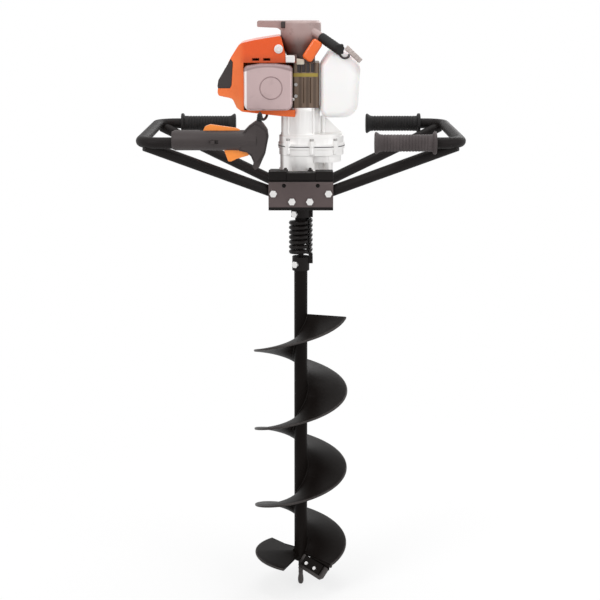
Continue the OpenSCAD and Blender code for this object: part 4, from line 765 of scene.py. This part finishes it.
def makeShroud():
    s = shroudSettings
    shell = solidCopy("shroud", s["smooth"])
    shape = bmesh.new()
    shape.from_mesh(shell.data)
    weight = shape.edges.layers.float.new("bevel_weight_edge")
    for edge in shape.edges:
        outer = max(abs(abs(v.co.y) / mm - s["half"]) for v in edge.verts) < s["near"]
        edge[weight] = float(outer and edge.is_manifold and edge.calc_face_angle() > math.radians(s["sharp"]))
    shape.to_mesh(shell.data)
    shape.free()
    softenEdges(shell, s["round"], s["segments"])
    dress(shell, "orange_plastic", "shroud", finish=special["shroud"])


makeShroud()
print("tank, muffler cover and shroud done")

# Small fittings of the engine and gearbox: bolts and screws as (place, axis, radius), soft blocks, and turned ones
fittingSettings = {
    "flangeBolt": ((-44.5, -58, 1169), (0, -1, 0), 9),
    "capScrews": [((-10, -42, 1098), (0, -1, 0), 3.6), ((-10, -42, 1075), (0, -1, 0), 3.6),
                  ((-16.5, -62, 1070), (1, 0, 0), 3.4)],
    "earBolts": {"out": 0.8, "top": 984, "radius": 4.2},
    "slotShade": {"x": (-4, 5, 14, 23), "half": 3.3, "z": (1122.6, 1140), "radii": [0.8] * 4, "y": (-36, -42.5),
                 "soft": 0.4, "deep": 0.4},
    "footStuds": {"x": (-31, 19), "y": -55, "stud": ([(3.1, 917), (3.1, 930.5), (2.1, 931.5)], 20),
                  "nut": ([(6.2, 921), (6.2, 927.2), (5.4, 928)], 6)},
    "gasket": {"radius": 46.9, "z": (971.2, 972.8)},
    "armSleeve": {"from": (40, -39, 1192), "to": (79.5, -68, 1166), "radius": 10, "lip": 1.4, "lipLength": 0.02,
                  "rib": 0.25, "ribs": 9},
}
blockCorner = 2.2
blockSettings = {
    "plate": {"corners": rectangle(-30.5, 1142, -12, 1156.5), "y": (-55.5, -61), "soft": 1.6, "slot": "bright_steel"},
    "sideBlock": {"corners": [(-9, 1137.5), (7, 1137.5), (7, 1147.5), (-9, 1150)], "y": (-39.4, -43.4), "soft": 1.6,
                  "slot": "cap_plastic", "finish": special["cream"]},
    "lipBlock": {"corners": rectangle(-40, 1209, -31, 1222), "y": (-20, -27), "soft": 1.4, "slot": "black_plastic"},
    "crossBar": {"corners": rectangle(-29.2, 909.6, 29.2, 926), "y": (-62.8, -95), "soft": 1.6, "slot": "black_paint"},
    "buffer": {"corners": rectangle(70.5, 1160, 84.5, 1179), "y": (-50, -77), "soft": 3.0, "slot": "grip_rubber",
               "replaced": ["tank_buffer"]},
}

# a hexagon head on a round flange: (share of the radius, height) pairs, turned with six sides for the head
boltShapes = {"flange": ([(1, -1), (1, 1.2), (0.93, 2.0), (0.62, 2.6)], 40),
              "head": ([(0.66, 2), (0.66, 6.4), (0.60, 7.2), (0.36, 7.4), (0.33, 6.6)], 6)}
axisGap = 0.05


def flangeBolt(name, place, axis, radius):
    for kind, (shape, sides) in boltShapes.items():
        rim = [(radius * share, high) for share, high in shape]
        profile = [(axisGap, rim[0][1])] + rim + [(axisGap, rim[-1][1])]
        dress(turned(f"{name}_{kind}", profile, place, axis, sides, 30), "bright_steel")


# a cap screw: a chamfered round head with a well in it, by shares of its radius and height
def capScrew(name, place, axis, radius):
    well, tall = radius * 0.52, radius * 1.1
    profile = [(axisGap, -1), (radius, -1), (radius, tall * 0.86), (radius * 0.9, tall), (well * 1.06, tall),
               (well, tall * 0.95), (well, tall * 0.35), (axisGap, tall * 0.3)]
    dress(turned(f"{name}_head", profile, place, axis, 24, 32), "gear_steel")


def makeFittings():
    s = fittingSettings
    flangeBolt("flange_bolt_0", *s["flangeBolt"])
    for number, screw in enumerate(s["capScrews"]):
        capScrew(f"cap_screw_{number}", *screw)
    ears = s["earBolts"]
    for number, (x, y) in enumerate(castingSettings["ears"]):
        for side, end in ((-1, "front"), (1, "back")):
            place = (x, side * (y + ears["out"]), ears["top"])
            capScrew(f"ear_bolt_{number}_{end}", place, (0, 0, 1), ears["radius"])
    for name, block in blockSettings.items():
        shape = {**block, "radii": [blockCorner] * 4, "deep": block["soft"]}
        piece = softBlock(f"fitting_{name}", shape, 5, 5)
        dress(piece, block["slot"], *block.get("replaced", []), finish=block.get("finish"))
    # black blocks set into the crankcase slots: painted shade in the slots
    fill = s["slotShade"]
    low, high = fill["z"]
    for number, x in enumerate(fill["x"]):
        shape = {**fill, "corners": rectangle(x - fill["half"], low, x + fill["half"], high)}
        dress(softBlock(f"case_slot_shade_{number}", shape, 3, 3), "black_plastic")
    studs = s["footStuds"]
    for number, x in enumerate(studs["x"]):
        for kind in ("stud", "nut"):
            (profile, sides), place = studs[kind], (x, studs["y"], 0)
            dress(turned(f"foot_{kind}_{number}", profile, place, (0, 0, 1), sides, 30), "blade_steel")
    gasket = s["gasket"]
    rim = circlePoints(0, 0, gasket["radius"], 120)
    rim[:, 0] += castingSettings["centre"] * (rim[:, 0] > 0)
    dress(newPiece("case_gasket", stacked(rim, gasket["z"]) * mm, gridFaces(2, len(rim)), 30), "grip_rubber")
    arm = s["armSleeve"]
    along = np.linspace(0, 1, 40)
    path = np.asarray(arm["from"]) + along[:, None] * np.subtract(arm["to"], arm["from"])
    swell = arm["radius"] - arm["lip"] * np.exp(-along / arm["lipLength"]) \
        + arm["rib"] * np.sin(along * 2 * np.pi * arm["ribs"])
    dress(sweptTube("arm_sleeve", path, swell, 28), "grip_rubber")


makeFittings()
print("small fittings done")

# Helical flights: a plate section with a rounded rim carried round the drill axis. The plates start cutBack degrees
# up the helix from the foot, and past its crease the second one bends down by droop * (share of the rest) ** bend
flightSettings = {
    "lead": -49, "foot": 58, "lift": 11, "pitch": 174, "cutBack": 11, "turn": 1112, "inner": 14.2, "outer": 100,
    "plate": 5, "rim": 1.9, "step": 2.5, "secondTurn": 117, "secondPitch": 12, "creaseAt": 0.42, "droop": 7,
    "bend": 1.3,
}
leadZ = flightSettings["foot"] + flightSettings["lift"] + flightSettings["pitch"] * flightSettings["cutBack"] / 360


def dressBit(piece, *replaced):
    dress(piece, "black_paint", *replaced, body="bit", finish=special["bit"])


def plateProfile():
    s = flightSettings
    rim, start, half = s["rim"], s["outer"] - s["rim"], s["plate"] / 2
    arc = np.radians(np.linspace(-90, 0, 5))
    low = np.stack([start + rim * np.cos(arc), -half + rim + rim * np.sin(arc)], axis=1)
    flat = np.stack([np.linspace(s["inner"], start, 7)[:-1], np.full(6, -half)], axis=1)
    lower = np.vstack([flat, low])
    return np.vstack([lower, (lower * [1, -1])[::-1]])


def helicalPlate(name, start, turn, foot, pitch, droop=0.0):
    s = flightSettings
    profile = plateProfile()
    angle = np.radians(start + np.linspace(0, turn, int(turn / s["step"]) + 1))
    past = np.clip((np.degrees(angle) - start) / turn - s["creaseAt"], 0, 1) / (1 - s["creaseAt"])
    rise = foot + pitch * (angle - angle[0]) / (2 * np.pi) - droop * past ** s["bend"]
    far, high = profile[None, :, 0], profile[None, :, 1]
    verts = np.stack([np.cos(angle)[:, None] * far, np.sin(angle)[:, None] * far, rise[:, None] + high], axis=-1)
    faces = [face[::-1] for face in gridFaces(len(angle), len(profile))]
    dressBit(newPiece(name + "_plate", verts * mm, faces, 50), name)


# Welds: a rippled bead in the corner between tube and plate, along the same helix; a slow wave swells it too, and it
# stops short of the plate's ends by the margin, in degrees
weldSettings = {"out": 15.0, "size": 2.4, "ripple": 3.4, "rippleShare": 0.16, "wave": 0.31, "waveShare": 0.05,
                "clear": 0.3, "density": 1.1, "margin": 4, "secondLift": 0.1}


def weldBead(name, start, turn, foot, pitch, side):
    s = weldSettings
    angle = np.radians(start + np.linspace(0, turn, int(turn * s["density"])))
    rise = foot + pitch * (angle - angle[0]) / (2 * np.pi) + side * (flightSettings["plate"] / 2 + s["clear"])
    path = helix(s["out"], angle, rise)
    length = (angle - angle[0]) * math.hypot(s["out"], pitch / (2 * np.pi))
    radius = s["size"] * (1 + s["rippleShare"] * np.abs(np.sin(np.pi * length / s["ripple"]))
                          + s["waveShare"] * np.sin(length * s["wave"]))
    dressBit(sweptTube(name, path, radius, 8))


# beads along the front ends of both plates, where the blade holders are welded on, and under each a tall lip:
# a straight tube stretched in height about its own middle
bladeWeld = {"from": 34, "to": 99, "below": 2.4, "size": 2.2, "grow": 0.012, "ripple": 3.4, "rippleHigh": 0.4,
             "lipSteps": 54, "lipBelow": 5.2, "lipRadius": 1.9, "lipStretch": 3.6}


def bladeWelds(number, turn):
    s = bladeWeld
    out = np.linspace(s["from"], s["to"], 60)
    path = helix(out, turn, np.full_like(out, leadZ - s["below"]))
    radius = s["size"] + s["grow"] * out + s["rippleHigh"] * np.abs(np.sin(np.pi * out / s["ripple"]))
    dressBit(sweptTube(f"weld_blade_{number}", path, radius, 10))
    lipPath = path[:s["lipSteps"]] - (0, 0, s["lipBelow"])
    lip = sweptTube(f"blade_lip_{number}", lipPath, s["lipRadius"], 14)
    points = np.empty(3 * len(lip.data.vertices))
    lip.data.vertices.foreach_get("co", points)
    middle = lipPath[0, 2] * mm
    points[2::3] = middle + s["lipStretch"] * (points[2::3] - middle)
    lip.data.vertices.foreach_set("co", points)
    dressBit(lip)


def makeFlights():
    s, margin = flightSettings, weldSettings["margin"]
    third, other = s["turn"] / 3, s["lead"] + 180
    for place, name in enumerate(["flight_lower", "flight_middle", "flight_upper"]):
        helicalPlate(name, s["lead"] + place * third, third, leadZ + s["pitch"] * place * third / 360, s["pitch"])
    helicalPlate("second_flight", other, s["secondTurn"], leadZ, s["secondPitch"], s["droop"])
    for name, side in (("weld_main_top", 1), ("weld_main_under", -1)):
        weldBead(name, s["lead"] + margin, s["turn"] - 2 * margin, leadZ + s["pitch"] * margin / 360, s["pitch"], side)
    weldBead("weld_second_top", other + margin, s["secondTurn"] * s["creaseAt"] - margin,
             leadZ + weldSettings["secondLift"], s["secondPitch"], 1)
    for number, turn in enumerate((s["lead"], other)):
        bladeWelds(number, math.radians(turn))


makeFlights()

# Pilot: a rod that swells towards its blunt end, with a low thread ridge wound round it that runs out at both ends
pilotSettings = {
    "profile": [(0.05, 0), (3.6, 0), (5.3, 2.2), (6.24, 6.6), (6.24, 12.4), (4.8, 23), (4.9, 40), (5.1, 58.5)],
    "threadAt": 4.7, "ridge": 1.15, "low": 24, "high": 56, "pitch": 8, "runOut": 0.3, "tip": 0.02,
}


def makePilot():
    s = pilotSettings
    rod = turned("pilot_rod", s["profile"], (0, 0, 0), (0, 0, 1), 32, 40)
    dress(rod, "blade_steel", "pilot_point", body="bit")
    climb = np.linspace(0, 1, 160)
    wound = 2 * np.pi * climb * (s["high"] - s["low"]) / s["pitch"]
    path = helix(s["threadAt"], wound, s["low"] + climb * (s["high"] - s["low"]))
    ridge = s["ridge"] * np.sin(np.pi * np.clip(climb, s["tip"], 1 - s["tip"])) ** s["runOut"]
    dress(sweptTube("pilot_thread", path, ridge, 8), "blade_steel", body="bit")


makePilot()
print("flights, welds and pilot done")

# Coupling spring: one round wire wound on a cylinder, each end running out straight and held by its hub
springSettings = {"wire": 9, "outer": 50, "low": 738, "high": 822, "gap": 0.4, "turns": 7.25, "steps": 40, "sides": 20,
                  "held": 8}


def makeSpring():
    s = springSettings
    coilR = (s["outer"] - s["wire"]) / 2
    lowZ = s["low"] + s["wire"] / 2 + s["gap"]
    rise = s["high"] - s["low"] - s["wire"] - 2 * s["gap"]
    turn = np.linspace(0, 1, int(s["turns"] * s["steps"]) + 1)
    angle = 2 * np.pi * s["turns"] * turn
    coil = helix(coilR, angle, lowZ + rise * turn)
    reach = np.linspace(1, 0.1, 5)[:, None] * s["wire"]
    first = coil[0] + reach * [0, -1, 0]
    last = coil[-1] + reach[::-1] * [-math.sin(angle[-1]), math.cos(angle[-1]), 0]
    piece = sweptTube("coupling_spring_wire", np.vstack([first, coil, last]), s["wire"] / 2, s["sides"])
    dress(piece, "spring_steel", "coupling_spring", body=None)
    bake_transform(piece)


makeSpring()
print("spring done")

# Starter rope: from the pulley through the eyelet to the grip
ropeSettings = {"x": 23, "z": 1166, "far": -0.5, "near": -34.2, "radius": 2, "fixed": -14, "inset": 0.6}


def makeRope():
    s = ropeSettings
    y = np.linspace(s["far"], s["near"], 90)
    path = np.stack([np.full_like(y, s["x"]), y, np.full_like(y, s["z"])], axis=1)
    piece = sweptTube("starter_rope_line", path, s["radius"], 12)
    dress(piece, "rope_fibre", "starter_rope", body=None)
    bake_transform(piece)


makeRope()

# Throttle cable: a sheath from the handle's head to the carburettor, with a ribbed boot that tapers on the handle's end
cableSettings = {
    "start": (-80, -190, 1003.5), "end": (-90, 76, 1095.5), "radius": 2.7,
    "head": [(0, 0, 24), (0, 0, 40), (0, 4, 47), (1, 20, 49), (2, 48, 44), (2, 80, 36), (4, 120, 27)],
    "tail": [(18, -96, -67), (20, -51, -65), (18, -21, -62), (12, -4, -48), (4, 0, -22), (0, 0, 0)], "bootUp": 34,
    "bootLength": 15, "bootRadius": 5.6, "bootBore": 0.1, "taper": 2.2, "rib": 0.4, "ribLength": 3.6,
}


def makeCable():
    s = cableSettings
    path = smoothRoute(np.vstack([np.add(s["head"], s["start"]), np.add(s["tail"], s["end"])]), 12)
    dress(sweptTube("throttle_cable_sheath", path, s["radius"], 14), "grip_rubber", "throttle_cable")
    foot = np.asarray(s["start"]) + (0, 0, s["bootUp"])
    up = np.linspace(0, s["bootLength"], 40)
    swell = s["bootRadius"] - s["taper"] * up / s["bootLength"] + s["rib"] * np.sin(up * 2 * np.pi / s["ribLength"])
    profile = np.vstack([[s["bootBore"], 0], np.stack([swell, up], axis=1), [s["bootBore"], s["bootLength"]]])
    dress(turned("cable_boot", profile, foot, (0, 0, 1), 28, 60), "grip_rubber")


makeCable()
print("rope and cable done")

# Studio: a pale floor that turns plain white away from the object, white surroundings that light less than they show,
# and lamps as (name, place, size, power)
stageSettings = {"half": 60, "level": -0.0003, "shade": (0.9, 0.9, 0.9), "awayFrom": (0.5, 1.4), "white": (0.72, 0.28)}
lightSettings = {
    "world": 0.55, "target": (0, 0, 0.85),
    "lamps": [("keyLeft", (-2.4, -2.6, 3.0), 2.2, 62), ("fillRight", (2.8, -2.2, 1.8), 2.4, 34),
              ("topSoft", (0.2, 0.2, 3.6), 2.4, 40), ("backRim", (1.4, 2.8, 2.2), 2.0, 30)],
}


def makeFloor():
    f, s = Finish("floorPale"), stageSettings
    x, y, _ = f.axes()
    away = f.ramp((x * x + y * y) ** 0.5, *s["awayFrom"])
    white = f.add("Emission", None, {"Color": (1, 1, 1, 1), "Strength": 1.0})
    paint = f.add("BsdfDiffuse", None, {"Color": (*s["shade"], 1)})
    share = f.seen() * (s["white"][0] + s["white"][1] * away)
    blend = f.add("MixShader", None, {0: share, 1: paint, 2: white})
    f.add("OutputMaterial", None, {"Surface": blend})
    half = s["half"]
    floor = newPiece("floor", stacked(rectangle(-half, -half, half, half), [s["level"]]), [[0, 1, 2, 3]])
    floor.data.materials.append(f.owner)


def makeSurroundings():
    scene.world = bpy.data.worlds.new("surroundings")
    f = Finish("surroundings", scene.world)
    strength = f.add("MapRange", None, {"Value": f.seen(), "To Min": lightSettings["world"]}, "Result")
    glow = f.add("Background", None, {"Color": (1, 1, 1, 1), "Strength": strength})
    f.add("OutputWorld", None, {"Surface": glow})


def makeLamps():
    for name, place, size, power in lightSettings["lamps"]:
        lamp = bpy.data.lights.new(name, "AREA")
        lamp.shape, lamp.size, lamp.energy = "DISK", size, power
        holder = newObject(name, lamp)
        holder.location = place
        aim = Vector([t - p for t, p in zip(lightSettings["target"], place)])
        holder.rotation_euler = aim.to_track_quat("-Z", "Y").to_euler()


makeFloor()
makeSurroundings()
makeLamps()
scene.view_settings.view_transform = "Standard"
print("studio done")
